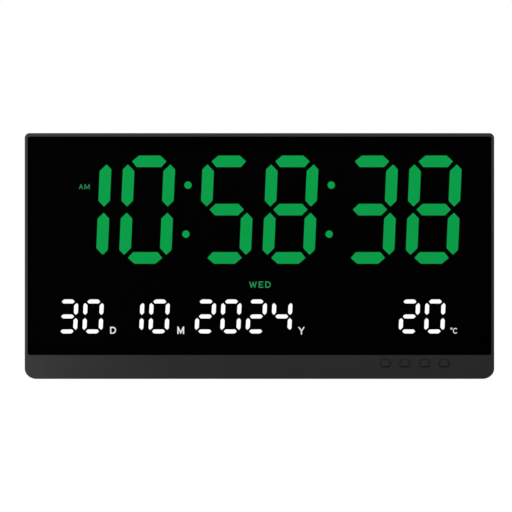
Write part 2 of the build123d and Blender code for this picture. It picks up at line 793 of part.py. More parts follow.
with BuildPart() as driver_chips:
    with BuildSketch(at_depth(board_back)):
        with Locations(on_board(0, DRIVER_Z)):
            with GridLocations(DRIVER_PITCH * across, 0, DRIVER_COUNT, 1):
                Rectangle(DRIVER_LENGTH, DRIVER_WIDTH)
    extrude(amount=-DRIVER_HEIGHT)
    chamfer(driver_chips.faces().group_by(Axis.Y)[-1].edges(), CHIP_BEVEL)
driver_chips.part.label = "driver_chips"
export_step(driver_chips.part, "parts/driver_chips.step")

with BuildPart() as crystal:
    with BuildSketch(at_depth(board_back)):
        with Locations((crystal_x, crystal_z)):
            SlotOverall(CRYSTAL_LENGTH, CRYSTAL_WIDTH)
    extrude(amount=-CRYSTAL_HEIGHT)
    fillet(crystal.faces().sort_by(Axis.Y)[-1].edges(), CRYSTAL_FOOT)
    with BuildSketch(at_depth(board_back)):
        with Locations((crystal_x, crystal_z)):
            SlotOverall(CRYSTAL_LENGTH + 2 * CRYSTAL_FOOT, CRYSTAL_WIDTH + 2 * CRYSTAL_FOOT)
    extrude(amount=-CRYSTAL_FOOT)
crystal.part.label = "crystal"
export_step(crystal.part, "parts/crystal.step")

with BuildPart() as smoothing_capacitor:
    with BuildSketch(at_depth(board_back)):
        with Locations((capacitor_x, capacitor_z)):
            Circle(CAPACITOR_RADIUS)
    extrude(amount=-CAPACITOR_HEIGHT)
    fillet(smoothing_capacitor.edges().group_by(Axis.Y)[-1], CAPACITOR_GROOVE)
    with BuildSketch(at_depth(board_back + CAPACITOR_GROOVE_HEIGHT)):
        with Locations((capacitor_x, capacitor_z)):
            Circle(CAPACITOR_RADIUS)
            Circle(CAPACITOR_RADIUS - CAPACITOR_GROOVE, mode=Mode.SUBTRACT)
    extrude(amount=-CAPACITOR_GROOVE, mode=Mode.SUBTRACT)
smoothing_capacitor.part.label = "smoothing_capacitor"
export_step(smoothing_capacitor.part, "parts/smoothing_capacitor.step")

with BuildPart() as buzzer:
    with BuildSketch(at_depth(board_back)):
        with Locations((buzzer_x, buzzer_z)):
            Circle(BUZZER_RADIUS)
    extrude(amount=-BUZZER_HEIGHT)
    fillet(buzzer.edges().group_by(Axis.Y)[-1], BUZZER_EDGE)
    with BuildSketch(at_depth(board_back + BUZZER_HEIGHT)):
        with Locations((buzzer_x, buzzer_z)):
            Circle(BUZZER_HOLE_RADIUS)
    extrude(amount=BUZZER_HOLE_DEPTH, mode=Mode.SUBTRACT)
buzzer.part.label = "buzzer"
export_step(buzzer.part, "parts/buzzer.step")

with BuildPart() as temperature_sensor:
    with BuildSketch(at_depth(board_back)):
        with Locations((sensor_x, sensor_z)):
            with GridLocations(SENSOR_LEAD_PITCH, 0, 2, 1):
                Circle(SENSOR_LEAD_RADIUS)
    extrude(amount=-SENSOR_LEAD_LENGTH)
    with Locations(at_depth(board_back + SENSOR_LEAD_LENGTH)):
        with Locations((sensor_x, sensor_z, 0)):
            Sphere(SENSOR_RADIUS)
temperature_sensor.part.label = "temperature_sensor"
export_step(temperature_sensor.part, "parts/temperature_sensor.step")

# Coin cell in an open-sided holder
with BuildPart() as coin_cell_holder:
    with BuildSketch(at_depth(board_back)):
        with Locations((battery_x, battery_z)):
            Circle(holder_radius)
    extrude(amount=-HOLDER_BASE)
    with BuildSketch(at_depth(holder_floor)):
        with Locations((battery_x, battery_z)):
            Circle(holder_radius)
            Circle(CELL_RADIUS + CELL_CLEARANCE, mode=Mode.SUBTRACT)
            Rectangle(2 * holder_radius, HOLDER_GATE, mode=Mode.SUBTRACT)
    extrude(amount=-HOLDER_RIM)
coin_cell_holder.part.label = "coin_cell_holder"
export_step(coin_cell_holder.part, "parts/coin_cell_holder.step")

with BuildPart() as cell_contacts:
    with BuildSketch(at_depth(holder_floor)):
        with Locations((battery_x, battery_z)):
            Circle(CONTACT_RADIUS)
    extrude(amount=-CONTACT_THICKNESS)
    with BuildSketch(at_depth(board_back)):
        with Locations((battery_x + holder_radius, battery_z)):
            Rectangle(CONTACT_THICKNESS, CONTACT_WIDTH, align=(Align.MIN, Align.CENTER))
    extrude(amount=-(HOLDER_BASE + CONTACT_THICKNESS + CELL_HEIGHT / 2))
    with BuildSketch(at_depth(cell_front + CELL_HEIGHT / 2)):
        with Locations((battery_x + CELL_RADIUS + CONTACT_THICKNESS / 2, battery_z)):
            Rectangle(
                CELL_CLEARANCE + HOLDER_WALL + CONTACT_THICKNESS / 2,
                CONTACT_WIDTH,
                align=(Align.MIN, Align.CENTER),
            )
    extrude(amount=CONTACT_THICKNESS)
cell_contacts.part.label = "cell_contacts"
export_step(cell_contacts.part, "parts/cell_contacts.step")

with BuildPart() as coin_cell:
    with BuildSketch(at_depth(cell_front)):
        with Locations((battery_x, battery_z)):
            Circle(CELL_RADIUS)
    extrude(amount=-CELL_HEIGHT)
    fillet(coin_cell.edges().group_by(Axis.Y)[-1], CELL_EDGE)
coin_cell.part.label = "coin_cell"
export_step(coin_cell.part, "parts/coin_cell.step")

# Power inlet: a board socket that faces down into the plug bay, and its centre pin
jack_axis_depth = board_back + JACK_AXIS_HEIGHT
jack_plane = Plane(
    origin=(jack_x, jack_axis_depth - case_depth, jack_face_z - keyhole_rise),
    x_dir=(1, 0, 0),
    z_dir=(0, 0, -1),
)

with BuildPart() as power_jack:
    with BuildSketch(jack_plane.offset(-JACK_LENGTH)):
        with Locations((0, JACK_AXIS_HEIGHT)):
            Rectangle(
                JACK_WIDTH - 2 * JACK_WAIST, JACK_HEIGHT - JACK_WAIST, align=(Align.CENTER, Align.MAX)
            )
    extrude(amount=JACK_LENGTH)
    with BuildSketch(jack_plane.offset(-JACK_FACE_LENGTH)):
        with Locations((0, JACK_AXIS_HEIGHT)):
            Rectangle(JACK_WIDTH, JACK_HEIGHT, align=(Align.CENTER, Align.MAX))
    extrude(amount=JACK_FACE_LENGTH)
    chamfer(power_jack.edges().filter_by(Axis.Z).group_by(Axis.Y)[-1], JACK_EDGE)
    with BuildSketch(jack_plane):
        Circle(JACK_BORE_RADIUS)
    extrude(amount=-JACK_BORE_DEPTH, mode=Mode.SUBTRACT)
power_jack.part.label = "power_jack"
export_step(power_jack.part, "parts/power_jack.step")

with BuildPart() as jack_pin:
    with BuildSketch(jack_plane.offset(-JACK_BORE_DEPTH)):
        Circle(JACK_PIN_RADIUS)
    extrude(amount=JACK_BORE_DEPTH - JACK_PIN_SETBACK)
    fillet(jack_pin.edges().group_by(Axis.Z)[0], JACK_PIN_EDGE)
jack_pin.part.label = "jack_pin"
export_step(jack_pin.part, "parts/jack_pin.step")

# Key board with four push switches
with BuildPart() as key_board:
    with BuildSketch(at_depth(key_board_back)):
        with Locations((key_x, key_z)):
            RectangleRounded(key_board_width, KEY_BOARD_HEIGHT, BOARD_RADIUS)
        with Locations(*key_standoffs):
            Circle(BOARD_SCREW_RADIUS + SCREW_CLEARANCE, mode=Mode.SUBTRACT)
    extrude(amount=KEY_BOARD_THICKNESS)
key_board.part.label = "key_board"
export_step(key_board.part, "parts/key_board.step")

with BuildPart() as key_switches:
    with BuildSketch(at_depth(key_board_front)):
        with Locations(*key_places):
            Rectangle(SWITCH_SIZE, SWITCH_SIZE)
    extrude(amount=SWITCH_HEIGHT)
    chamfer(key_switches.edges().filter_by(Axis.Y), SWITCH_BEVEL)
    with BuildSketch(at_depth(switch_front)):
        draw_circles(key_places, PLUNGER_RADIUS + PLUNGER_CLEARANCE)
    extrude(amount=-(PLUNGER_DEEP + 2 * KEY_TRAVEL), mode=Mode.SUBTRACT)
key_switches.part.label = "key_switches"
export_step(key_switches.part, "parts/key_switches.step")

# Each key is a round-edged cap held behind the chin by its flange, with a post on the switch's plunger
for name, place in zip(KEY_NAMES, key_places):
    with BuildPart() as key:
        with BuildSketch(at_depth(key_flange_front)):
            with Locations(place):
                RectangleRounded(KEY_WIDTH, KEY_HEIGHT, KEY_RADIUS)
        extrude(amount=key_flange_front + KEY_PROUD)
        fillet(key.faces().sort_by(Axis.Y)[0].edges(), KEY_EDGE)
        with BuildSketch(at_depth(key_flange_back)):
            with Locations(place):
                RectangleRounded(
                    KEY_WIDTH + 2 * KEY_FLANGE_WIDTH,
                    KEY_HEIGHT + 2 * KEY_FLANGE_WIDTH,
                    KEY_RADIUS + KEY_FLANGE_WIDTH,
                )
        extrude(amount=KEY_FLANGE_THICKNESS)
        with BuildSketch(at_depth(plunger_front)):
            with Locations(place):
                Circle(KEY_POST_RADIUS)
        extrude(amount=KEY_POST_LENGTH)
    key.part.label = f"{name}_key"
    export_step(key.part, f"parts/{name}_key.step")

    with BuildPart() as plunger:
        with BuildSketch(at_depth(plunger_front)):
            with Locations(place):
                Circle(PLUNGER_RADIUS)
        extrude(amount=-(PLUNGER_PROUD + PLUNGER_DEEP))
    plunger.part.label = f"{name}_plunger"
    export_step(plunger.part, f"parts/{name}_plunger.step")

# Flat cable that rises from the key board's connector and runs over the edge of the display board
key_connector_z = key_z + KEY_BOARD_HEIGHT / 2
led_connector_z = tray_bottom + TRAY_WALL + CABLE_INLET_Z
cable_depth = board_back + CABLE_LIFT

with BuildPart() as key_cable:
    with BuildSketch(Plane.YZ.offset(key_x - CABLE_WIDTH / 2)):
        with BuildLine() as cable_line:
            Spline(
                side_point(cable_depth, key_connector_z),
                side_point(cable_depth + CABLE_RISE, (key_connector_z + led_connector_z) / 2),
                side_point(cable_depth, led_connector_z),
                tangents=((0, 1), (0, 1)),
            )
        trace(cable_line.edges(), CABLE_THICKNESS)
    extrude(amount=CABLE_WIDTH)
key_cable.part.label = "key_cable"
export_step(key_cable.part, "parts/key_cable.step")

connector_top = cable_depth + CABLE_THICKNESS / 2 + CONNECTOR_COVER
with BuildPart() as cable_connectors:
    with BuildSketch(at_depth(key_board_back)):
        with Locations((key_x, key_connector_z)):
            Rectangle(CONNECTOR_WIDTH, CONNECTOR_LENGTH, align=(Align.CENTER, Align.MAX))
    extrude(amount=key_board_back - connector_top)
    with BuildSketch(at_depth(board_back)):
        with Locations((key_x, led_connector_z)):
            Rectangle(CONNECTOR_WIDTH, CONNECTOR_LENGTH, align=(Align.CENTER, Align.MIN))
    extrude(amount=board_back - connector_top)
    chamfer(cable_connectors.faces().group_by(Axis.Y)[-1].edges(), CONNECTOR_EDGE)
cable_connectors.part.label = "cable_connectors"
export_step(cable_connectors.part, "parts/cable_connectors.step")

# Screws that hold the two boards to the frame
with BuildPart() as board_screws:
    with BuildSketch(at_depth(board_back)):
        draw_circles(standoffs, BOARD_SCREW_RADIUS)
    extrude(amount=BOARD_SCREW_LENGTH)
    with BuildSketch(at_depth(key_board_back)):
        draw_circles(key_standoffs, BOARD_SCREW_RADIUS)
    extrude(amount=BOARD_SCREW_LENGTH)
    with BuildSketch(at_depth(board_back)):
        draw_circles(standoffs, BOARD_HEAD_RADIUS)
    extrude(amount=-BOARD_HEAD_HEIGHT)
    with BuildSketch(at_depth(key_board_back)):
        draw_circles(key_standoffs, BOARD_HEAD_RADIUS)
    extrude(amount=-BOARD_HEAD_HEIGHT)
board_screws.part.label = "board_screws"
export_step(board_screws.part, "parts/board_screws.step")

# Rear cover: flange, hollow drafted tray, locating lip, keyholes, vents, battery well and plug bay
with BuildPart() as rear_cover:
    with BuildSketch(at_depth(flange_back)):
        draw_case_outline(0)
    extrude(amount=FLANGE_THICKNESS)
    fillet(rear_cover.faces().sort_by(Axis.Y)[-1].edges(), FLANGE_EDGE)
    with BuildSketch(at_depth(flange_back)):
        with Locations((0, tray_z)):
            RectangleRounded(tray_width, tray_height, TRAY_RADIUS)
    extrude(amount=-TRAY_DEPTH, taper=TRAY_DRAFT)
    fillet(rear_cover.faces().sort_by(Axis.Y)[-1].edges(), TRAY_EDGE)
    with BuildSketch(at_depth(FRAME_DEPTH)):
        with Locations((0, tray_z)):
            RectangleRounded(
                tray_width - 2 * TRAY_WALL, tray_height - 2 * TRAY_WALL, TRAY_RADIUS - TRAY_WALL
            )
    extrude(amount=FRAME_DEPTH - rear_inside, taper=TRAY_DRAFT, mode=Mode.SUBTRACT)
    with BuildSketch(at_depth(FRAME_DEPTH)):
        draw_case_outline(SIDE_BORDER + LIP_CLEARANCE)
        with BuildSketch(mode=Mode.SUBTRACT):
            draw_case_outline(SIDE_BORDER + LIP_CLEARANCE + LIP_THICKNESS)
        with Locations(*upper_bosses, *lower_bosses):
            Circle(COVER_BOSS_RADIUS + LIP_CLEARANCE, mode=Mode.SUBTRACT)
    extrude(amount=LIP_DEPTH)
    # Screw holes with sunk seats
    with BuildSketch(at_depth(flange_back)):
        draw_circles(upper_bosses + lower_bosses, COVER_HEAD_RADIUS + HEAD_CLEARANCE)
    extrude(amount=COVER_HEAD_SINK, mode=Mode.SUBTRACT)
    with BuildSketch(at_depth(flange_back)):
        draw_circles(upper_bosses + lower_bosses, COVER_SCREW_RADIUS + SCREW_CLEARANCE)
    extrude(amount=FLANGE_THICKNESS, mode=Mode.SUBTRACT)
    # Keyholes: a pocket for the screw's head behind a narrow slot
    with BuildSketch(at_depth(rear_inside)):
        with Locations((0, keyhole_rise + KEYHOLE_TRAVEL / 2)):
            with GridLocations(KEYHOLE_SPACING, 0, 2, 1):
                SlotCenterToCenter(KEYHOLE_TRAVEL, 2 * (KEYHOLE_RADIUS + KEYHOLE_WALL), rotation=90)
    extrude(amount=KEYHOLE_POCKET + KEYHOLE_WALL)
    with BuildSketch(at_depth(rear_inside)):
        with Locations((0, keyhole_rise + KEYHOLE_TRAVEL / 2)):
            with GridLocations(KEYHOLE_SPACING, 0, 2, 1):
                SlotCenterToCenter(KEYHOLE_TRAVEL, 2 * KEYHOLE_RADIUS, rotation=90)
    extrude(amount=KEYHOLE_POCKET, mode=Mode.SUBTRACT)
    with BuildSketch(at_depth(case_depth)):
        with Locations((0, keyhole_rise)):
            with GridLocations(KEYHOLE_SPACING, 0, 2, 1):
                Circle(KEYHOLE_RADIUS)
        with Locations((0, keyhole_rise + KEYHOLE_TRAVEL / 2)):
            with GridLocations(KEYHOLE_SPACING, 0, 2, 1):
                SlotCenterToCenter(KEYHOLE_TRAVEL, KEYHOLE_SLOT, rotation=90)
    extrude(amount=REAR_WALL, mode=Mode.SUBTRACT)
    # Vents above and below, and sound holes over the buzzer
    with BuildSketch(at_depth(case_depth)):
        with Locations(on_board(0, UPPER_VENT_Z), on_board(0, LOWER_VENT_Z)):
            with GridLocations(VENT_PITCH, 0, VENT_COUNT, 1):
                SlotOverall(VENT_LENGTH, VENT_WIDTH, rotation=90)
        with Locations((buzzer_x, buzzer_z)):
            Circle(SOUND_HOLE_RADIUS)
            with PolarLocations(SOUND_HOLE_RING, SOUND_HOLE_COUNT):
                Circle(SOUND_HOLE_RADIUS)
    extrude(amount=REAR_WALL, mode=Mode.SUBTRACT)
    # Battery well: a tube down to the board, a seat for the cap, and notches that pass its lugs
    with BuildSketch(at_depth(rear_inside)):
        with Locations((battery_x, battery_z)):
            Circle(CAP_LUG_RADIUS + CAP_CLEARANCE + WELL_TUBE_WALL)
    extrude(amount=rear_inside - board_back - WELL_TUBE_GAP)
    with BuildSketch(at_depth(seat_front)):
        with Locations((battery_x, battery_z)):
            Circle(CAP_LUG_RADIUS + CAP_CLEARANCE)
    extrude(amount=seat_front - board_back, mode=Mode.SUBTRACT)
    with BuildSketch(at_depth(case_depth)):
        with Locations((battery_x, battery_z)):
            Circle(CAP_RADIUS + CAP_CLEARANCE)
    extrude(amount=case_depth - seat_back, mode=Mode.SUBTRACT)
    with BuildSketch(at_depth(seat_back)):
        with Locations((battery_x, battery_z)):
            Circle(CAP_HUB_RADIUS + CAP_CLEARANCE)
    extrude(amount=CAP_SEAT, mode=Mode.SUBTRACT)
    with BuildSketch(at_depth(seat_back)):
        draw_lugs(CAP_LUG_RADIUS + CAP_CLEARANCE, CAP_LUG_WIDTH + 2 * CAP_LUG_SLACK, -CAP_TURN)
    extrude(amount=CAP_SEAT, mode=Mode.SUBTRACT)
    # Plug bay: a walled pocket with a hole to the socket above and an exit for the cord below
    with BuildSketch(at_depth(rear_inside)):
        with Locations((jack_x, tray_bottom + tray_lean)):
            Rectangle(
                BAY_WIDTH + 2 * BAY_WALL,
                TRAY_WALL + BAY_LENGTH + BAY_WALL,
                align=(Align.CENTER, Align.MIN),
            )
    extrude(amount=rear_inside - board_back - BAY_BOARD_GAP)
    with BuildSketch(at_depth(case_depth)):
        with Locations((jack_x, (bay_bottom + bay_top) / 2)):
            RectangleRounded(BAY_WIDTH, BAY_LENGTH, BAY_CORNER)
    extrude(amount=case_depth - bay_floor, mode=Mode.SUBTRACT)
    with BuildSketch(at_depth(case_depth)):
        with Locations((jack_x, tray_bottom)):
            Rectangle(CORD_EXIT, 2 * (tray_lean + TRAY_WALL + BAY_CORNER))
    extrude(amount=TRAY_DEPTH, mode=Mode.SUBTRACT)
    with BuildSketch(jack_plane):
        Circle(BARREL_RADIUS)
    extrude(amount=JACK_GAP + BAY_WALL, mode=Mode.SUBTRACT)
rear_cover.part.label = "rear_cover"
export_step(rear_cover.part, "parts/rear_cover.step")

# Cap that turns to lock over the battery well, with a coin slot across its back
with BuildPart() as battery_cap:
    with BuildSketch(at_depth(cap_front)):
        with Locations((battery_x, battery_z)):
            Circle(CAP_RADIUS)
    extrude(amount=-CAP_THICKNESS)
    chamfer(battery_cap.faces().sort_by(Axis.Y)[-1].edges(), CAP_EDGE)
    with BuildSketch(at_depth(cap_front)):
        with Locations((battery_x, battery_z)):
            Circle(CAP_HUB_RADIUS)
            Circle(CAP_HUB_RADIUS - CAP_HUB_WALL, mode=Mode.SUBTRACT)
    extrude(amount=cap_front - lug_front)
    with BuildSketch(at_depth(lug_back)):
        draw_lugs(CAP_LUG_RADIUS, CAP_LUG_WIDTH, 0)
        with Locations((battery_x, battery_z)):
            Circle(CAP_HUB_RADIUS - CAP_HUB_WALL, mode=Mode.SUBTRACT)
    extrude(amount=CAP_LUG_THICKNESS)
    with BuildSketch(at_depth(case_depth - CAP_SINK)):
        with Locations((battery_x, battery_z)):
            SlotOverall(COIN_SLOT_LENGTH, COIN_SLOT_WIDTH)
    extrude(amount=COIN_SLOT_DEPTH, mode=Mode.SUBTRACT)
battery_cap.part.label = "battery_cap"
export_step(battery_cap.part, "parts/battery_cap.step")

# Screws that close the case, sunk in the flange
with BuildPart() as cover_screws:
    with BuildSketch(at_depth(flange_back - COVER_HEAD_SINK)):
        draw_circles(upper_bosses + lower_bosses, COVER_HEAD_RADIUS)
    extrude(amount=-COVER_HEAD_HEIGHT)
    fillet(cover_screws.edges().group_by(Axis.Y)[-1], HEAD_EDGE)
    with BuildSketch(at_depth(flange_back - COVER_HEAD_SINK)):
        draw_circles(upper_bosses + lower_bosses, COVER_SCREW_RADIUS)
    extrude(amount=COVER_SCREW_LENGTH)
cover_screws.part.label = "cover_screws"
export_step(cover_screws.part, "parts/cover_screws.step")
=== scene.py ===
from math import cos, pi, radians, sin

import bmesh
import bpy
from bpy.props import FloatProperty, FloatVectorProperty, IntProperty, PointerProperty
from bpy.types import Operator, Panel, PropertyGroup
from mathutils import Matrix, Vector
from mathutils.geometry import delaunay_2d_cdt


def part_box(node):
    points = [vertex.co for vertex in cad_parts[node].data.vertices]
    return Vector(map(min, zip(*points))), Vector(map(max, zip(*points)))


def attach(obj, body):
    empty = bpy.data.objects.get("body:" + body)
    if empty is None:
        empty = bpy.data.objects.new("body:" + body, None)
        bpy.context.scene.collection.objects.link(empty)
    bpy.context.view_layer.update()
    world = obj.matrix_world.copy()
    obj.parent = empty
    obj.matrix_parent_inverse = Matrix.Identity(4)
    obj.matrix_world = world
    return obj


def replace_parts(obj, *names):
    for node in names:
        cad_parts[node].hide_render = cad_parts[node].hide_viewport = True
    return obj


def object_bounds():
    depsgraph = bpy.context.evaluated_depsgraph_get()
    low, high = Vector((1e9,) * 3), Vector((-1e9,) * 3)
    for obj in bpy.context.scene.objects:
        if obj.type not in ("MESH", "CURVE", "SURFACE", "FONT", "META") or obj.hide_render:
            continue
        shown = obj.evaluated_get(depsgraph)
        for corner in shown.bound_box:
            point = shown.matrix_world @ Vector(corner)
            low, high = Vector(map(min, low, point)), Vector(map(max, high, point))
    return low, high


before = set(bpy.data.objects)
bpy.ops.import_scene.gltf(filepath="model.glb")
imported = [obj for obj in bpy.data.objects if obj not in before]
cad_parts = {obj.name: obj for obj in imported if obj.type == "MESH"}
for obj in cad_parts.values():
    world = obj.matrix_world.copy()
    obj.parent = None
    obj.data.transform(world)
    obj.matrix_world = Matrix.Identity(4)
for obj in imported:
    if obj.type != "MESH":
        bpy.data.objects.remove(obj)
CAD_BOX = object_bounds()

bl_info = {
    "name": "Digital wall clock",
    "version": (1, 0, 0),
    "blender": (4, 5, 0),
    "location": "3D View > Sidebar > Wall clock",
    "description": "Finishes, lit legends, screws, chip legs and studio for a wall clock with bar figures",
    "category": "Object",
}

CASE = "case"
CAP = "battery_cap"
KEYS = ("set_key", "down_key", "up_key", "mode_key")
MILLIMETRE = 0.001

# Points of one solid that are nearer than this are one point, in metres
SAME_POINT = 1e-6

# Lit legends: name, text, place across and up from the panel's middle, width, height and stroke, all in
# millimetres, and the light behind them
LEGENDS = (
    ("am", "AM", -141.85, 47.9, 8.7, 4.2, 0.6, "dim_green"),
    ("wed", "WED", 0.45, -31.4, 17.5, 5.2, 0.9, "dim_green"),
    ("d", "D", -118.5, -68.35, 4.8, 5.7, 1.0, "soft_white"),
    ("m", "M", -63.75, -68.35, 5.5, 6.1, 1.05, "soft_white"),
    ("y", "Y", 34.0, -68.7, 5.0, 6.2, 0.95, "soft_white"),
    ("c", "C", 158.55, -68.8, 3.7, 4.7, 0.65, "soft_white"),
    ("degree", "o", 155.45, -67.05, 1.7, 1.7, 0.42, "soft_white"),
)

# Finish slot of each light behind the legends
LEGEND_SLOTS = {"dim_green": "green_light", "soft_white": "white_light"}

# How far the tint of a legend drifts to either side, and that of the date to the darker one
LEGEND_DRIFT = 0.05
DATE_DRIFT = 0.03

# Moulded finishes: roughness, size and depth of the grain in metres, and strength of the shine
MOULDED = {
    "charcoal_frame": (0.52, 0.0006, 0.0002, 0.11),
    "charcoal_keys": (0.5, 0.0004, 0.0001, 0.11),
    "eroded_cover": (0.6, 0.0009, 0.0004, 0.3),
    "foam_tape": (0.9, 0.0004, 0.0001, 0.05),
    "border_ink": (0.7, 0.0005, 0.00001, 0.0),
    "pad_print": (0.6, 0.0003, 0.00002, 0.3),
    "unlit_bars": (0.8, 0.0006, 0.00004, 0.01),
    "reflector_black": (0.8, 0.0005, 0.00005, 0.01),
    "switch_black": (0.45, 0.0005, 0.00005, 0.4),
    "chip_epoxy": (0.55, 0.0003, 0.00003, 0.4),
    "socket_black": (0.5, 0.0005, 0.00005, 0.4),
    "connector_nylon": (0.45, 0.0006, 0.00004, 0.4),
    "led_resin": (0.3, 0.0004, 0.00002, 0.5),
    "capacitor_sleeve": (0.3, 0.0008, 0.00002, 0.5),
    "black_felt": (0.9, 0.002, 0.0005, 0.0),
}

# Colours of the moulded finishes that the panel in the sidebar doesn't list
PLAIN_COLOURS = {
    "foam_tape": (0.0015, 0.0015, 0.0015),
    "pad_print": (0.3, 0.3, 0.3),
    "switch_black": (0.018, 0.018, 0.018),
    "chip_epoxy": (0.016, 0.016, 0.017),
    "socket_black": (0.016, 0.016, 0.016),
    "connector_nylon": (0.72, 0.69, 0.6),
    "led_resin": (0.72, 0.68, 0.46),
    "capacitor_sleeve": (0.012, 0.018, 0.05),
    "black_felt": (0.002, 0.002, 0.002),
}

# Metals: colour, roughness, and how much the draw lines add to it
METALS = {
    "bright_nickel": ((0.72, 0.71, 0.67), 0.18, 0.12),
    "tinned_legs": ((0.6, 0.6, 0.59), 0.25, 0.1),
    "zinc_plate": ((0.42, 0.42, 0.43), 0.3, 0.15),
}

# Copper under the solder mask: spacing, length and width of the tracks in metres, the cells to the metre
# that have one plated hole each, the radius of a hole beside the size of its cell, and its colour
TRACK_PITCH = 0.0023
TRACK_LENGTH = 0.0173
TRACK_WIDTH = 0.00022
HOLE_CELLS = 130.0
HOLE_REACH = 0.09
GOLD = (0.55, 0.42, 0.18)

# Flat cable: colour of the sheath, of the painted shade in its grooves, and the spacing of the conductors in
# metres
SHEATH_COLOUR = (0.42, 0.43, 0.45)
GROOVE_PAINTED_SHADE = (0.2, 0.2, 0.22)
CONDUCTOR_PITCH = 0.001

# What each node on the boards is coated with
BOARD_COATS = {
    "control_chip": "chip_epoxy",
    "driver_chips": "chip_epoxy",
    "temperature_sensor": "chip_epoxy",
    "buzzer": "socket_black",
    "coin_cell_holder": "socket_black",
    "power_jack": "socket_black",
    "cable_connectors": "connector_nylon",
    "green_leds": "led_resin",
    "white_leds": "led_resin",
    "smoothing_capacitor": "capacitor_sleeve",
    "crystal": "bright_nickel",
    "cell_contacts": "bright_nickel",
    "coin_cell": "bright_nickel",
    "jack_pin": "bright_nickel",
}

# Screws: radius and height of the head and radius of the shank in metres, and the size of the recess
# beside that of a cover screw
SCREWS = {
    "cover_screws": (0.0027, 0.0019, 0.00145, 1.0),
    "board_screws": (0.0022, 0.0015, 0.00105, 0.8),
}

# Shape of a screw: sides and steps of its dome, how far and how late the dome draws in, the span of the
# recess beside the radius of the head, and the sides of the shank
DOME_SIDES = 40
DOME_STEPS = 8
DOME_DRAW = 0.42
DOME_POWER = 3.0
RECESS_SPAN = 1.05
SHANK_SIDES = 24

# Chip legs: sides of each chip that have them, thickness, shoulder and foot in metres, and the height of
# the shoulder beside that of the chip
CHIP_SIDES = {"control_chip": 4, "driver_chips": 2}
LEG_THICKNESS = 0.0002
LEG_SHOULDER = 0.0006
LEG_FOOT = 0.0007
SHOULDER_SHARE = 0.55

# Print on the back: corners of the cap's pointer from its axis in metres, the cap's turn from locked to
# open in degrees, and the sides and the hole of a round mark
POINTER = [(0.0118, -0.0013), (0.0142, 0.0), (0.0118, 0.0013)]
CAP_TURN = 60.0
MARK_SIDES = 24
MARK_HOLE = 0.6

# Floor: sides of its disc, size of its soft patches in metres, and its two tones
FLOOR_SIDES = 96
FLOOR_PATCH = 0.8
FLOOR_TONES = ((0.88, 0.88, 0.88), (0.92, 0.92, 0.92))

# Lamps: width, height and place from the clock's middle, in metres
LAMPS = {
    "top_lamp": (0.7, 0.1, (0.02, -0.2, 0.36)),
    "side_lamp": (0.08, 0.3, (-0.27, -0.1, -0.02)),
    "overhead_lamp": (1.6, 1.6, (0.3, 0.4, 1.7)),
}

# Camera: width of its sensor in millimetres, and how far it sees in metres
SENSOR_WIDTH = 36.0
SIGHT = 50.0


def arc_points(centre, wide, high, start, sweep, count):
    """Points along an arc of an ellipse, from a start angle over a sweep in degrees."""
    turns = [radians(start + sweep * number / count) for number in range(count + 1)]
    return [(centre[0] + wide * cos(turn), centre[1] + high * sin(turn)) for turn in turns]


# Each letter's width beside the others, and its strokes in a box one wide and one high
BOWL = arc_points((0.4, 0.5), 0.6, 0.5, 90, -180, 14)
STROKES = {
    "A": (1.0, [[(0.0, 0.0), (0.5, 1.0), (1.0, 0.0)], [(0.25, 0.3), (0.75, 0.3)]]),
    "C": (1.0, [arc_points((0.5, 0.5), 0.5, 0.5, 45, 270, 20)]),
    "D": (1.0, [[(0.0, 0.5), (0.0, 1.0), *BOWL, (0.0, 0.0), (0.0, 0.5)]]),
    "E": (0.85, [[(1.0, 1.0), (0.0, 1.0), (0.0, 0.0), (1.0, 0.0)], [(0.0, 0.5), (0.85, 0.5)]]),
    "M": (1.2, [[(0.0, 0.0), (0.0, 1.0), (0.5, 0.1), (1.0, 1.0), (1.0, 0.0)]]),
    "W": (1.35, [[(0.0, 1.0), (0.25, 0.0), (0.5, 0.9), (0.75, 0.0), (1.0, 1.0)]]),
    "Y": (1.0, [[(0.0, 1.0), (0.5, 0.45), (1.0, 1.0)], [(0.5, 0.45), (0.5, 0.0)]]),
    "o": (1.0, [arc_points((0.5, 0.5), 0.5, 0.5, 0, 360, 20)]),
}

# Gap between two letters, beside the width of a plain letter
LETTER_GAP = 0.32

# Points of a letter that are nearer than these shares of its stroke are one: as strokes are joined, and after
JOIN_SHARE = 0.001
MERGE_SHARE = 0.01


class Wire:
    """A socket in a node tree. Sums and products of wires and numbers add Math nodes."""

    def __init__(self, tree, socket=None):
        self.tree = tree
        self.socket = socket

    def node(self, kind, settings, sockets, output=0):
        """Add a node, set its settings, then give its sockets their values or links, and wrap one output."""
        added = self.tree.nodes.new(kind)
        for name, value in settings.items():
            setattr(added, name, value)
        for name, value in sockets.items():
            items = value if isinstance(value, list) else [value]
            for item in items:
                if isinstance(item, Wire):
                    self.tree.links.new(item.socket, added.inputs[name])
                else:
                    added.inputs[name].default_value = item
        return Wire(self.tree, added.outputs[output] if len(added.outputs) else None)

    def other(self, output):
        """Another output of the node that this wire comes from."""
        return Wire(self.tree, self.socket.node.outputs[output])

    def math(self, operation, left, right=0.0):
        """A Math node on two wires or numbers."""
        return self.node("ShaderNodeMath", {"operation": operation}, {0: left, 1: right})

    def __add__(self, right):
        return self.math("ADD", self, right)

    def __radd__(self, left):
        return self.math("ADD", left, self)

    def __sub__(self, right):
        return self.math("SUBTRACT", self, right)

    def __rsub__(self, left):
        return self.math("SUBTRACT", left, self)

    def __mul__(self, right):
        return self.math("MULTIPLY", self, right)

    def __rmul__(self, left):
        return self.math("MULTIPLY", left, self)

    def __truediv__(self, right):
        return self.math("DIVIDE", self, right)

    def __rtruediv__(self, left):
        return self.math("DIVIDE", left, self)

    def __pow__(self, right):
        return self.math("POWER", self, right)

    def __rpow__(self, left):
        return self.math("POWER", left, self)


def solid(colour):
    """A colour with full cover."""
    return (*colour, 1.0)


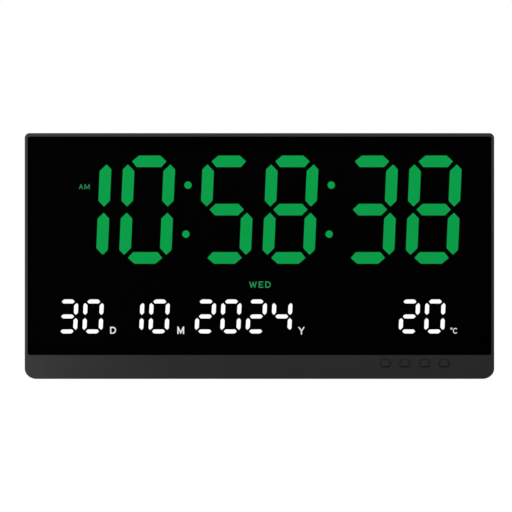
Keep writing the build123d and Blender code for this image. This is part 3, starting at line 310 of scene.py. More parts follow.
def toned(colour, share):
    """A colour made lighter or darker by a share."""
    return tuple(min(1.0, channel * (1 + share)) for channel in colour)


def start_finish(name):
    """A new material with an empty tree, as the material and a wire to build from."""
    material = bpy.data.materials.new(name)
    material.use_nodes = True
    material.node_tree.nodes.clear()
    return material, Wire(material.node_tree)


def close_finish(wire, sockets):
    """End a material in one principled shader with these socket values and links."""
    shader = wire.node("ShaderNodeBsdfPrincipled", {}, sockets, "BSDF")
    wire.node("ShaderNodeOutputMaterial", {}, {"Surface": shader})


def object_place(wire):
    """Object coordinates, in metres."""
    return wire.node("ShaderNodeTexCoord", {}, {}, "Object")


def along(wire, place, axis):
    """One coordinate of a place."""
    return wire.node("ShaderNodeSeparateXYZ", {}, {"Vector": place}, axis)


def speckle(wire, place, size, detail):
    """Noise whose patches are about this many metres across."""
    sockets = {"Vector": place, "Scale": 1 / size, "Detail": detail, "Roughness": 0.6}
    return wire.node("ShaderNodeTexNoise", {}, sockets)


def bump(wire, height, depth, strength):
    """A normal that follows a height of this depth in metres."""
    return wire.node("ShaderNodeBump", {}, {"Strength": strength, "Distance": depth, "Height": height})


def blend_colours(wire, factor, first, second):
    """A colour between two others."""
    return wire.node("ShaderNodeMix", {"data_type": "RGBA"}, {0: factor, 6: first, 7: second}, 2)


def mixed(first, second, share):
    """A share of one wire with the rest of another."""
    return first * share + second * (1 - share)


def drifting(wire, factor, colour, spread):
    """A colour that drifts darker and lighter by a share."""
    return blend_colours(wire, factor, solid(toned(colour, -spread)), solid(toned(colour, spread)))


def moulded_finish(name, colour):
    """Moulded plastic: a fine eroded grain with soft flow marks in its colour and gloss."""
    roughness, grain, depth, shine = MOULDED[name]
    gloss_drift = 0.2
    material, wire = start_finish(name)
    place = object_place(wire)
    flow = speckle(wire, place, size=0.06, detail=4.0)
    fine = speckle(wire, place, size=grain, detail=3.0)
    close_finish(
        wire,
        {
            "Base Color": drifting(wire, mixed(flow, fine, share=0.7), colour, spread=0.22),
            "Roughness": roughness - gloss_drift / 2 + gloss_drift * flow,
            "Specular IOR Level": shine,
            "Normal": bump(wire, fine, depth, strength=0.6),
        },
    )
    return material


def plain_finish(name):
    """A moulded finish in its own colour."""
    return moulded_finish(name, PLAIN_COLOURS[name])


def acrylic_finish(name, colour, opacity, shine, back):
    """Smoked acrylic, polished and faintly smeared. Its back face is clear, so that the smoke counts once."""
    polish = 0.03
    smear_gloss = 0.07
    material, wire = start_finish(name)
    place = object_place(wire)
    smear = speckle(wire, place, size=0.07, detail=5.0)
    close_finish(
        wire,
        {
            "Base Color": drifting(wire, smear, colour, spread=0.3),
            "Roughness": polish + smear_gloss * smear,
            "Specular IOR Level": shine,
            "Alpha": opacity * wire.math("LESS_THAN", along(wire, place, "Y"), back),
        },
    )
    return material


def lit_finish(name, first, second, strength):
    """Translucent resin lit from behind: its light drifts between two tints over the grain of a diffuser."""
    roughness = 0.4
    grain_gloss = 0.1
    unlit_first = toned(first, -0.7)
    unlit_second = toned(second, -0.6)
    material, wire = start_finish(name)
    place = object_place(wire)
    drift = speckle(wire, place, size=0.012, detail=2.0)
    grain = speckle(wire, place, size=0.0012, detail=2.0)
    light = blend_colours(wire, mixed(drift, grain, share=0.85), solid(first), solid(second))
    close_finish(
        wire,
        {
            "Base Color": blend_colours(wire, grain, solid(unlit_first), solid(unlit_second)),
            "Roughness": roughness + grain_gloss * grain,
            "Specular IOR Level": 0.1,
            "Emission Color": light,
            "Emission Strength": strength,
        },
    )
    return material


def light_strength(finishes):
    """Strength at which a light shows at its own colour through the smoked panel."""
    return 1 / (1 - finishes.panel_opacity)


def board_finish(name, colour):
    """Solder mask over straight copper tracks, with plated holes."""
    roughness = 0.35
    cloud_gloss = 0.15
    track_gloss = 0.1
    track_cover = 0.8
    material, wire = start_finish(name)
    place = object_place(wire)
    flat = wire.node("ShaderNodeMapping", {}, {"Vector": place, "Rotation": (radians(90), 0.0, 0.0)})
    black = solid((0.0, 0.0, 0.0))
    runs = wire.node(
        "ShaderNodeTexBrick",
        {"offset": 0.37, "squash": 1.0},
        {
            "Vector": flat,
            "Color1": black,
            "Color2": black,
            "Mortar": solid((1.0, 1.0, 1.0)),
            "Scale": 1.0,
            "Mortar Size": TRACK_WIDTH,
            "Mortar Smooth": 0.1,
            "Brick Width": TRACK_LENGTH,
            "Row Height": TRACK_PITCH,
        },
        "Fac",
    )
    cells = wire.node("ShaderNodeTexVoronoi", {}, {"Vector": flat, "Scale": HOLE_CELLS}, "Distance")
    holes = wire.math("LESS_THAN", cells, HOLE_REACH)
    cloud = speckle(wire, place, size=0.012, detail=3.0)
    mask = drifting(wire, cloud, colour, spread=0.2)
    tracked = blend_colours(wire, runs * track_cover, mask, solid(toned(colour, 1.2)))
    close_finish(
        wire,
        {
            "Base Color": blend_colours(wire, holes, tracked, solid(GOLD)),
            "Metallic": holes,
            "Roughness": roughness + cloud_gloss * cloud - track_gloss * runs,
            "Specular IOR Level": 0.4,
            "Normal": bump(wire, runs, depth=0.00004, strength=0.5),
        },
    )
    return material


def metal_finish(name):
    """Plated metal with fine draw lines and dull patches."""
    colour, roughness, streak = METALS[name]
    dull = 0.1
    material, wire = start_finish(name)
    place = object_place(wire)
    drawn = wire.node("ShaderNodeMapping", {}, {"Vector": place, "Scale": (1.0, 1.0, 14.0)})
    lines = speckle(wire, drawn, size=0.004, detail=3.0)
    patches = speckle(wire, place, size=0.003, detail=3.0)
    darker = solid(toned(colour, -0.15))
    lighter = solid(toned(colour, 0.1))
    close_finish(
        wire,
        {
            "Base Color": blend_colours(wire, patches, darker, lighter),
            "Metallic": 1.0,
            "Roughness": roughness + streak * lines + dull * patches,
            "Normal": bump(wire, lines, depth=0.00002, strength=0.2),
        },
    )
    return material


def cable_finish(name):
    """Flat cable sheath with a shallow groove between its conductors, which is darkened with painted shade.
    """
    roughness = 0.4
    grain_gloss = 0.15
    material, wire = start_finish(name)
    place = object_place(wire)
    groove = 0.5 + 0.5 * wire.math("SINE", along(wire, place, "X") * (2 * pi / CONDUCTOR_PITCH))
    grain = speckle(wire, place, size=0.0008, detail=2.0)
    groove_shade_and_grain = mixed(groove, grain, share=0.8)
    close_finish(
        wire,
        {
            # The grooves are painted darker than the sheath: painted shade where the groove dips, mixed with
            # the grain
            "Base Color": blend_colours(wire, groove_shade_and_grain, solid(GROOVE_PAINTED_SHADE), solid(SHEATH_COLOUR)),
            "Roughness": roughness + grain_gloss * grain,
            "Normal": bump(wire, groove, depth=0.0002, strength=0.8),
        },
    )
    return material


def coat_node(name, material):
    """Give a CAD node its finish."""
    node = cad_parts[name]
    if node.material_slots:
        for place in node.material_slots:
            place.material = material
    else:
        node.data.materials.append(material)


def show(name, data):
    """Add an object for a mesh, lamp or camera to the scene."""
    shown = bpy.data.objects.new(name, data)
    bpy.context.scene.collection.objects.link(shown)
    return shown


def add_piece(name, mesh, body):
    """Add a mesh whose place is in its points, riding on a body of the clock."""
    piece = show(name, mesh)
    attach(piece, body)
    return piece


def plain_mesh(name, shape):
    """A mesh made of a shape, which is then given up."""
    mesh = bpy.data.meshes.new(name)
    shape.to_mesh(mesh)
    shape.free()
    return mesh


def middle(box):
    """Middle of a box that is given by its lowest and highest corner."""
    low, high = box
    return (low + high) / 2


def at_depth(point, y):
    """A point moved to another depth."""
    return Vector((point.x, y, point.z))


def solid_boxes(node):
    """Lowest and highest corner of each solid of a CAD node."""
    shape = bmesh.new()
    shape.from_mesh(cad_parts[node].data)
    bmesh.ops.remove_doubles(shape, verts=shape.verts, dist=SAME_POINT)
    waiting = set(shape.verts)
    boxes = []
    while waiting:
        edge = [waiting.pop()]
        points = []
        while edge:
            point = edge.pop()
            points.append(point.co.copy())
            for link in point.link_edges:
                neighbour = link.other_vert(point)
                if neighbour in waiting:
                    waiting.remove(neighbour)
                    edge.append(neighbour)
        low = Vector([min(point[axis] for point in points) for axis in range(3)])
        high = Vector([max(point[axis] for point in points) for axis in range(3)])
        boxes.append((low, high))
    shape.free()
    return boxes


def grow(name, places, tree, values):
    """Run a geometry tree on a mesh of loose places, and return what it makes as a plain mesh."""
    seeds = bpy.data.meshes.new(name)
    seeds.from_pydata([tuple(place) for place in places], [], [])
    carrier = show(name, seeds)
    modifier = carrier.modifiers.new(name, "NODES")
    modifier.node_group = tree
    for item in tree.interface.items_tree:
        if item.in_out == "INPUT" and item.name in values:
            modifier[item.identifier] = values[item.name]
    graph = bpy.context.evaluated_depsgraph_get()
    mesh = bpy.data.meshes.new_from_object(carrier.evaluated_get(graph), depsgraph=graph)
    mesh.name = name
    carrier.modifiers.remove(modifier)
    bpy.data.objects.remove(carrier)
    if not mesh.polygons:
        raise RuntimeError(f"the tree for {name} made no faces")
    return mesh


def start_tree(name, numbers, counts=()):
    """A new geometry tree with places, a finish and named numbers, as the tree and its input wires."""
    tree = bpy.data.node_groups.new(name, "GeometryNodeTree")
    tree.is_modifier = True
    tree.interface.new_socket("Places", in_out="INPUT", socket_type="NodeSocketGeometry")
    tree.interface.new_socket("Finish", in_out="INPUT", socket_type="NodeSocketMaterial")
    for number in numbers:
        tree.interface.new_socket(number, in_out="INPUT", socket_type="NodeSocketFloat")
    for count in counts:
        tree.interface.new_socket(count, in_out="INPUT", socket_type="NodeSocketInt")
    tree.interface.new_socket("Pieces", in_out="OUTPUT", socket_type="NodeSocketGeometry")
    entry = Wire(tree).node("NodeGroupInput", {}, {}, "Places")
    names = ("Places", "Finish", *numbers, *counts)
    return tree, {input_name: entry.other(input_name) for input_name in names}


def moved(wire, shape, step):
    """A shape moved by a vector."""
    return wire.node("GeometryNodeTransform", {}, {"Geometry": shape, "Translation": step})


def close_tree(wire, given, shape):
    """Set the shape on every place, facing the back of the clock, and end the tree in real geometry."""
    points = wire.node("GeometryNodeMeshToPoints", {}, {"Mesh": given["Places"]})
    turned = wire.node("GeometryNodeTransform", {}, {"Geometry": shape, "Rotation": (radians(-90), 0.0, 0.0)})
    placed = wire.node("GeometryNodeInstanceOnPoints", {}, {"Points": points, "Instance": turned})
    real = wire.node("GeometryNodeRealizeInstances", {}, {"Geometry": placed})
    coated = wire.node("GeometryNodeSetMaterial", {}, {"Geometry": real, "Material": given["Finish"]})
    wire.node("NodeGroupOutput", {}, {"Pieces": coated})


def vector(wire, x, y, z):
    """A vector from three wires or numbers."""
    return wire.node("ShaderNodeCombineXYZ", {}, {"X": x, "Y": y, "Z": z})


def block(wire, size, place):
    """A box of this size about this place."""
    return moved(wire, wire.node("GeometryNodeMeshCube", {}, {"Size": size}), place)


def fused(wire, parts):
    """Shapes joined into one closed shape."""
    settings = {"operation": "UNION", "solver": "MANIFOLD"}
    return wire.node("GeometryNodeMeshBoolean", settings, {"Mesh 2": parts})


def carved(wire, shape, tools):
    """A shape with others cut out of it."""
    settings = {"operation": "DIFFERENCE", "solver": "MANIFOLD"}
    return wire.node("GeometryNodeMeshBoolean", settings, {"Mesh 1": shape, "Mesh 2": tools})


def rod(wire, sides, radius, length, steps=1):
    """A closed round rod about the origin, along Z."""
    sockets = {"Vertices": sides, "Side Segments": steps, "Radius": radius, "Depth": length}
    return wire.node("GeometryNodeMeshCylinder", {"fill_type": "NGON"}, sockets)


def screw_tree():
    """Domed screws with a cross recess: the underside of each head sits on its place."""
    numbers = ("Head Radius", "Head Height", "Shank Radius", "Shank Length", "Recess Width", "Recess Depth")
    tree, given = start_tree("cross_recess_screws", numbers)
    wire = Wire(tree)
    head = rod(wire, DOME_SIDES, 1.0, 1.0, DOME_STEPS)
    x = along(wire, wire.node("GeometryNodeInputPosition", {}, {}), "X")
    rise = x.other("Z") + 0.5
    girth = given["Head Radius"] * (1 - DOME_DRAW * rise**DOME_POWER)
    place = vector(wire, x * girth, x.other("Y") * girth, rise * given["Head Height"])
    domed = wire.node("GeometryNodeSetPosition", {}, {"Geometry": head, "Position": place})
    span = given["Head Radius"] * RECESS_SPAN
    width = given["Recess Width"]
    depth = given["Recess Depth"] * 2
    top = vector(wire, 0.0, 0.0, given["Head Height"])
    recess = [
        block(wire, vector(wire, span, width, depth), top),
        block(wire, vector(wire, width, span, depth), top),
    ]
    length = given["Shank Length"]
    shank = rod(wire, SHANK_SIDES, given["Shank Radius"], length)
    sunk = moved(wire, shank, vector(wire, 0.0, 0.0, length * -0.5))
    close_tree(wire, given, fused(wire, [carved(wire, domed, recess), sunk]))
    return tree


def leg_tree():
    """Bent legs along the sides of a chip: each chip's middle on the board is one place."""
    numbers = ("Body Reach", "Leg Pitch", "Leg Width", "Leg Thickness", "Shoulder", "Shoulder Height", "Foot")
    tree, given = start_tree("chip_legs", numbers, ("Legs", "Sides"))
    wire = Wire(tree)
    thick = given["Leg Thickness"]
    width = given["Leg Width"]
    shoulder = given["Shoulder"]
    foot = given["Foot"]
    rise = given["Shoulder Height"]
    knee = given["Body Reach"] + shoulder
    leg = fused(
        wire,
        [
            block(wire, vector(wire, shoulder, width, thick), vector(wire, knee - shoulder * 0.5, 0.0, rise)),
            block(wire, vector(wire, thick, width, rise), vector(wire, knee, 0.0, rise * 0.5)),
            block(wire, vector(wire, foot, width, thick), vector(wire, knee + foot * 0.5, 0.0, thick * 0.5)),
        ],
    )
    span = (given["Legs"] - 1) * given["Leg Pitch"]
    row = wire.node(
        "GeometryNodeMeshLine",
        {"mode": "OFFSET"},
        {
            "Count": given["Legs"],
            "Start Location": vector(wire, 0.0, span * -0.5, 0.0),
            "Offset": vector(wire, 0.0, given["Leg Pitch"], 0.0),
        },
    )
    side = wire.node("GeometryNodeInstanceOnPoints", {}, {"Points": row, "Instance": leg})
    turns = wire.node("GeometryNodePoints", {}, {"Count": given["Sides"]})
    turn = wire.node("GeometryNodeInputIndex", {}, {}) * (2 * pi) / given["Sides"]
    round_chip = wire.node(
        "GeometryNodeInstanceOnPoints",
        {},
        {"Points": turns, "Instance": side, "Rotation": vector(wire, 0.0, 0.0, turn)},
    )
    close_tree(wire, given, round_chip)
    return tree


def stroke_edges(points, stroke):
    """Left and right edge points along a stroke, mitred at its corners and squared off at its ends."""
    edges = []
    closed = (points[0] - points[-1]).length < stroke * MERGE_SHARE
    for number, point in enumerate(points):
        first = number == 0
        last = number == len(points) - 1
        before = points[-2] if first and closed else points[number - 1]
        after = points[1] if last and closed else points[(number + 1) % len(points)]
        into = (after - point if first and not closed else point - before).normalized()
        onward = (point - before if last and not closed else after - point).normalized()
        left = into.orthogonal() + onward.orthogonal()
        side = left * stroke / (2 + 2 * into.dot(onward))
        if not closed and (first or last):
            point = point + into * (stroke / 2 if last else -stroke / 2)
        edges.append((point + side, point - side))
    return edges


def add_letter(shape, letter, left, width, height, stroke):
    """Add one flat letter to a shape, its strokes joined where they cross and cut to its box."""
    start = Vector((left + stroke / 2, stroke / 2))
    points = []
    quads = []
    for run in STROKES[letter][1]:
        middles = [start + Vector((x * (width - stroke), z * (height - stroke))) for x, z in run]
        pairs = stroke_edges(middles, stroke)
        for (a, b), (c, d) in zip(pairs, pairs[1:]):
            quads.append([len(points) + corner for corner in range(4)])
            points += [a, b, d, c]
    corners, _, faces, _, _, sources = delaunay_2d_cdt(points, [], quads, 0, stroke * JOIN_SHARE)
    drawn = bmesh.new()
    places = [drawn.verts.new((corner.x, 0.0, corner.y)) for corner in corners]
    for face, source in zip(faces, sources):
        if source:
            drawn.faces.new([places[corner] for corner in face])
    for corner, outward in (
        ((left, 0.0, 0.0), (-1.0, 0.0, 0.0)),
        ((left + width, 0.0, 0.0), (1.0, 0.0, 0.0)),
        ((left, 0.0, 0.0), (0.0, 0.0, -1.0)),
        ((left, 0.0, height), (0.0, 0.0, 1.0)),
    ):
        parts = [*drawn.verts, *drawn.edges, *drawn.faces]
        bmesh.ops.bisect_plane(drawn, geom=parts, plane_co=corner, plane_no=outward, clear_outer=True)
    bmesh.ops.remove_doubles(drawn, verts=drawn.verts, dist=stroke * MERGE_SHARE)
    mesh = plain_mesh(letter, drawn)
    shape.from_mesh(mesh)
    bpy.data.meshes.remove(mesh)


def letter_mesh(text, width, height, stroke, thickness):
    """Letters as thin plates that face the viewer, in a box of this width and height about the origin."""
    shares = [STROKES[letter][0] for letter in text]
    unit = width / (sum(shares) + LETTER_GAP * (len(text) - 1))
    shape = bmesh.new()
    left = -width / 2
    for letter, share in zip(text, shares):
        add_letter(shape, letter, left, share * unit, height, stroke)
        left += (share + LETTER_GAP) * unit
    grown = bmesh.ops.extrude_face_region(shape, geom=shape.faces[:])["geom"]
    raised = [part for part in grown if isinstance(part, bmesh.types.BMVert)]
    bmesh.ops.translate(shape, verts=raised, vec=(0.0, -thickness, 0.0))
    bmesh.ops.translate(shape, verts=shape.verts, vec=(0.0, thickness / 2, -height / 2))
    bmesh.ops.recalc_face_normals(shape, faces=shape.faces)
    return plain_mesh(text, shape)


def disc_outline(radius):
    """Points of a circle, in the plane of the clock's back."""
    turns = [2 * pi * number / MARK_SIDES for number in range(MARK_SIDES)]
    return [(radius * cos(turn), radius * sin(turn)) for turn in turns]


def box_outline(wide, high):
    """Corners of a rectangle of these half sizes, in the plane of the clock's back."""
    return [(-wide, -high), (wide, -high), (wide, high), (-wide, high)]


def bridge(shape, first, second):
    """Faces between two loops with the same number of points."""
    for index in range(len(first)):
        after = (index + 1) % len(first)
        shape.faces.new((first[index], first[after], second[after], second[index]))


def printed_mesh(name, rings, centre, lift):
    """A thin printed mark on a face that looks at the wall: an outline, or an outer and an inner one."""
    shape = bmesh.new()
    levels = []
    for level in (0.0, lift):
        base = at_depth(centre, centre.y + level)
        levels.append([[shape.verts.new(base + Vector((x, 0.0, z))) for x, z in ring] for ring in rings])
    for lower, upper in zip(*levels):
        bridge(shape, lower, upper)
    for loops in levels:
        if len(loops) == 1:
            shape.faces.new(loops[0])
        else:
            bridge(shape, *loops)
    bmesh.ops.recalc_face_normals(shape, faces=shape.faces)
    return plain_mesh(name, shape)


def lay_floor(studio, centre):
    """A plain pale floor under the clock."""
    roughness = 0.8
    cloud_gloss = 0.1
    shape = bmesh.new()
    bmesh.ops.create_circle(shape, cap_ends=True, segments=FLOOR_SIDES, radius=studio.floor_radius)
    place = Vector((centre.x, centre.y, CAD_BOX[0].z - studio.floor_drop))
    bmesh.ops.translate(shape, verts=shape.verts, vec=place)
    mesh = plain_mesh("floor", shape)
    pale, wire = start_finish("pale_floor")
    cloud = speckle(wire, object_place(wire), size=FLOOR_PATCH, detail=3.0)
    darker, lighter = FLOOR_TONES
    close_finish(
        wire,
        {
            "Base Color": blend_colours(wire, cloud, solid(darker), solid(lighter)),
            "Roughness": roughness + cloud_gloss * cloud,
            "Specular IOR Level": 0.2,
        },
    )
    mesh.materials.append(pale)
    return show("floor", mesh)


def hang_card(studio, eye):
    """A dark card behind the camera, which shows only as what the panel mirrors."""
    shape = bmesh.new()
    bmesh.ops.create_grid(shape, x_segments=1, y_segments=1, size=studio.card_size / 2)
    place = Matrix.Translation(at_depth(eye, eye.y - studio.card_gap))
    upright = Matrix.Rotation(radians(-90), 4, "X")
    bmesh.ops.transform(shape, verts=shape.verts, matrix=place @ upright)
    mesh = plain_mesh("dark_card", shape)
    mesh.materials.append(plain_finish("black_felt"))
    card = show("dark_card", mesh)
    card.visible_camera = False
    card.visible_diffuse = False
    card.visible_shadow = False
    return card


def hang_lamps(studio, centre):
    """Soft lamps that face the clock's middle and don't mirror in it."""
    for name, (wide, high, offset) in LAMPS.items():
        lamp = bpy.data.lights.new(name, "AREA")
        lamp.shape = "RECTANGLE"
        lamp.energy = getattr(studio, name)
        lamp.size = wide
        lamp.size_y = high
        holder = show(name, lamp)
        holder.location = centre + Vector(offset)
        holder.rotation_euler = (-Vector(offset)).to_track_quat("-Z", "Y").to_euler()
        holder.visible_glossy = False


def fill_air(studio):
    """White surroundings that light the clock at the level of the ambience."""
    world = bpy.data.worlds.new("studio")
    world.use_nodes = True
    world.node_tree.nodes.clear()
    air = Wire(world.node_tree)
    path = air.node("ShaderNodeLightPath", {}, {}, "Is Camera Ray")
    mirrored = air.math("MAXIMUM", path.other("Is Glossy Ray"), path.other("Is Transmission Ray"))
    seen = air.math("MAXIMUM", path, mirrored)
    strength = studio.ambience + seen * (1 - studio.ambience)
    glow = air.node("ShaderNodeBackground", {}, {"Color": solid((1.0, 1.0, 1.0)), "Strength": strength})
    air.node("ShaderNodeOutputWorld", {}, {"Surface": glow})
    return world


def set_camera(studio, eye):
    """A camera that looks straight at the front of the clock."""
    view = bpy.data.cameras.new("view")
    view.sensor_width = SENSOR_WIDTH
    view.lens = SENSOR_WIDTH * studio.view_distance / studio.view_width
    view.clip_end = SIGHT
    camera = show("view", view)
    camera.location = (eye.x + studio.view_shift, eye.y, eye.z)
    camera.rotation_euler = (radians(90), 0.0, 0.0)
    return camera


def colour_property(name, description, default):
    """A colour that a user may change."""
    return FloatVectorProperty(
        name=name, description=description, subtype="COLOR", size=3, min=0.0, max=1.0, default=default
    )


def length_property(name, description, default):
    """A length in metres that a user may change."""
    return FloatProperty(name=name, description=description, unit="LENGTH", precision=5, default=default)


def power_property(name, description, default):
    """A lamp's power in watts that a user may change."""
    return FloatProperty(name=name, description=description, unit="POWER", default=default)


def share_property(name, description, default, highest=1.0):
    """A share from nothing to a highest value that a user may change."""
    return FloatProperty(
        name=name, description=description, subtype="FACTOR", min=0.0, max=highest, default=default
    )


def count_property(name, description, default):
    """A count that a user may change."""
    return IntProperty(name=name, description=description, default=default)


class ClockFinishes(PropertyGroup):
    """Colours and gloss of the clock's pieces. Lights are given as they show through the panel."""

    frame_colour: colour_property("Frame", "Charcoal of the front frame", (0.0088, 0.0084, 0.0084))
    key_colour: colour_property("Keys", "Charcoal of the key caps", (0.0088, 0.0084, 0.0084))
    cover_colour: colour_property("Cover", "Black of the rear cover and battery cap", (0.014, 0.014, 0.0145))
    panel_colour: colour_property("Panel", "Smoke of the front panel", (0.0003, 0.0002, 0.0002))
    reflector_colour: colour_property("Reflector", "Black of the reflector", (0.0006, 0.0006, 0.0006))
    dark_bar_colour: colour_property("Unlit bars", "Resin of bars that are off", (0.0007, 0.0007, 0.0007))
    leaf_light: colour_property("Time, leaf", "Leaf tint of the time", (0.0012, 0.315, 0.036))
    green_light: colour_property("Time, sea", "Sea tint of the time", (0.004, 0.285, 0.082))
    white_light: colour_property("Date", "Light of the date and temperature", (0.98, 0.965, 0.97))
    dim_green: colour_property("Green legends", "Light of the noon and weekday legends", (0.02, 0.23, 0.085))
    soft_white: colour_property("White legends", "Light of the small date legends", (0.72, 0.72, 0.72))
    board_colour: colour_property("Boards", "Solder mask of the boards", (0.008, 0.09, 0.03))
    panel_opacity: share_property("Panel opacity", "Share of light that the front panel stops", 0.7, 0.95)
    panel_gloss: share_property("Panel gloss", "Mirror strength of the front panel", 0.15)


class ClockDetails(PropertyGroup):
    """Sizes of the small pieces that are added to the solids."""

    letter_thickness: length_property("Letter plate", "Thickness of the lit letters", 0.0001)
    ink_thickness: length_property("Ink", "Thickness of printed ink", 0.00002)
    border_margin: length_property("Border margin", "From the panel's edge to its printed border", 0.0006)
    border_overlap: length_property("Border overlap", "How far the border covers the reflector", 0.0015)
    recess_width: length_property("Recess width", "Width of a cross recess in the cover screws", 0.0009)
    recess_depth: length_property("Recess depth", "Depth of a cross recess in the cover screws", 0.0011)
    leg_pitch: length_property("Leg pitch", "Spacing of chip legs", 0.001)
    leg_width: length_property("Leg width", "Width of a chip leg", 0.0004)
    control_legs: count_property("Control legs", "Legs on each side of the control chip", 10)
    driver_legs: count_property("Driver legs", "Legs on each long side of a driver chip", 12)
    mark_radius: length_property("Cap mark", "Radius of the lock marks beside the battery cap", 0.0012)
    mark_reach: length_property("Mark reach", "Distance of the lock marks from the cap's axis", 0.0188)


class ClockStudio(PropertyGroup):
    """Camera, floor and lamps."""

    view_distance: length_property("View distance", "From the camera to the front of the clock", 4.0)
    view_width: length_property("View width", "Width of the picture at the front of the clock", 0.4143)
    view_shift: length_property("View shift", "From the clock's middle to the picture's middle", -0.0028)
    floor_drop: length_property("Floor drop", "From the clock's bottom to the floor", 0.5)
    floor_radius: length_property("Floor radius", "Radius of the pale floor", 5.0)
    card_size: length_property("Card size", "Side of the dark card that the panel mirrors", 2.0)
    card_gap: length_property("Card gap", "From the camera back to the dark card", 0.3)
    top_lamp: power_property("Top lamp", "Power of the upper strip", 6.6)
    side_lamp: power_property("Side lamp", "Power of the left strip", 1.1)
    overhead_lamp: power_property("Overhead lamp", "Power of the large soft lamp above", 14.0)
    ambience: share_property("Ambience", "Level of the surrounding light", 0.85)


class CLOCK_OT_dress_case(Operator):
    """Coat the front frame, rear cover, battery cap and panel tape"""

    bl_idname = "clock.dress_case"
    bl_label = "Dress case"

    def execute(self, context):
        finishes = context.scene.clock_finishes
        cover = moulded_finish("eroded_cover", finishes.cover_colour)
        coat_node("front_frame", moulded_finish("charcoal_frame", finishes.frame_colour))
        coat_node("rear_cover", cover)
        coat_node("battery_cap", cover)
        coat_node("panel_tape", plain_finish("foam_tape"))
        return {"FINISHED"}


class CLOCK_OT_dress_panel(Operator):
    """Coat the smoked front panel and print the black border on its back"""

    bl_idname = "clock.dress_panel"
    bl_label = "Dress panel"

    def execute(self, context):
        finishes = context.scene.clock_finishes
        details = context.scene.clock_details
        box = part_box("front_panel")
        back = at_depth(middle(box), box[1].y)
        front_of_ink = back.y - details.ink_thickness
        smoke = acrylic_finish(
            "smoked_panel", finishes.panel_colour, finishes.panel_opacity, finishes.panel_gloss, front_of_ink
        )
        coat_node("front_panel", smoke)
        outer = box[1] - back
        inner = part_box("reflector")[1] - back
        rings = [
            box_outline(outer.x - details.border_margin, outer.z - details.border_margin),
            box_outline(inner.x - details.border_overlap, inner.z - details.border_overlap),
        ]
        border = printed_mesh("panel_border", rings, back, -details.ink_thickness)
        border.materials.append(moulded_finish("border_ink", finishes.panel_colour))
        add_piece("panel_border", border, CASE)
        return {"FINISHED"}


class CLOCK_OT_light_figures(Operator):
    """Light the bars that are on and coat the reflector and the bars that are off"""

    bl_idname = "clock.light_figures"
    bl_label = "Light figures"

    def execute(self, context):
        finishes = context.scene.clock_finishes
        strength = light_strength(finishes)
        dimmer = toned(finishes.white_light, -DATE_DRIFT)
        green = lit_finish("lit_green_bars", finishes.leaf_light, finishes.green_light, strength)
        white = lit_finish("lit_white_bars", dimmer, finishes.white_light, strength)
        dark = moulded_finish("unlit_bars", finishes.dark_bar_colour)
        coat_node("time_bars_lit", green)
        coat_node("date_bars_lit", white)
        for node in ("time_bars_dark", "date_bars_dark", "legend_bars"):
            coat_node(node, dark)
        coat_node("reflector", moulded_finish("reflector_black", finishes.reflector_colour))
        return {"FINISHED"}


class CLOCK_OT_set_legends(Operator):
    """Set the lit letters on the legend windows"""

    bl_idname = "clock.set_legends"
    bl_label = "Set legends"

    def execute(self, context):
        finishes = context.scene.clock_finishes
        thickness = context.scene.clock_details.letter_thickness
        strength = light_strength(finishes)
        lights = {}
        for name in LEGEND_SLOTS:
            light = getattr(finishes, name)
            tints = (toned(light, -LEGEND_DRIFT), toned(light, LEGEND_DRIFT))
            lights[name] = lit_finish(f"{name}_letters", *tints, strength)
        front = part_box("legend_bars")[0].y
        centre = at_depth(middle(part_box("front_panel")), front - thickness / 2)
        for name, text, x, z, width, height, stroke, light in LEGENDS:
            sizes = [size * MILLIMETRE for size in (width, height, stroke)]
            mesh = letter_mesh(text, *sizes, thickness)
            mesh.transform(Matrix.Translation(centre + Vector((x, 0.0, z)) * MILLIMETRE))
            mesh.materials.append(lights[light])
            add_piece(f"legend_{name}", mesh, CASE)
        return {"FINISHED"}


class CLOCK_OT_dress_keys(Operator):
    """Coat the key caps, their switches and plungers"""

    bl_idname = "clock.dress_keys"
    bl_label = "Dress keys"

    def execute(self, context):
        caps = moulded_finish("charcoal_keys", context.scene.clock_finishes.key_colour)
        inner = plain_finish("switch_black")
        for key in KEYS:
            coat_node(key, caps)
            coat_node(key.replace("key", "plunger"), inner)
        coat_node("key_switches", inner)
        return {"FINISHED"}


class CLOCK_OT_dress_boards(Operator):
    """Coat the boards and what is soldered to them"""

    bl_idname = "clock.dress_boards"
    bl_label = "Dress boards"

    def execute(self, context):
        board = board_finish("solder_mask", context.scene.clock_finishes.board_colour)
        coat_node("led_board", board)
        coat_node("key_board", board)
        coat_node("key_cable", cable_finish("flat_cable"))
        coats = {}
        for node, coat in BOARD_COATS.items():
            if coat not in coats:
                coats[coat] = metal_finish(coat) if coat in METALS else plain_finish(coat)
            coat_node(node, coats[coat])
        return {"FINISHED"}


class CLOCK_OT_solder_legs(Operator):
    """Solder bent legs round the chips on the display board"""

    bl_idname = "clock.solder_legs"
    bl_label = "Solder legs"

    def execute(self, context):
        details = context.scene.clock_details
        counts = {"control_chip": details.control_legs, "driver_chips": details.driver_legs}
        tin = metal_finish("tinned_legs")
        tree = leg_tree()
        for node, sides in CHIP_SIDES.items():
            boxes = solid_boxes(node)
            size = boxes[0][1] - boxes[0][0]
            places = [at_depth(middle(box), box[0].y) for box in boxes]
            # Two rows grow to the left and right of a chip, so those above and below it are turned afterwards
            turned = sides == 2
            turn = Matrix.Rotation(radians(90 if turned else 0), 4, "Y")
            mesh = grow(
                f"{node}_legs",
                [turn.inverted() @ place for place in places],
                tree,
                {
                    "Finish": tin,
                    "Body Reach": (size.z if turned else size.x) / 2,
                    "Leg Pitch": details.leg_pitch,
                    "Leg Width": details.leg_width,
                    "Leg Thickness": LEG_THICKNESS,
                    "Shoulder": LEG_SHOULDER,
                    "Shoulder Height": size.y * SHOULDER_SHARE,
                    "Foot": LEG_FOOT,
                    "Legs": counts[node],
                    "Sides": sides,
                },
            )
            mesh.transform(turn)
            add_piece(f"{node}_legs", mesh, CASE)
        return {"FINISHED"}


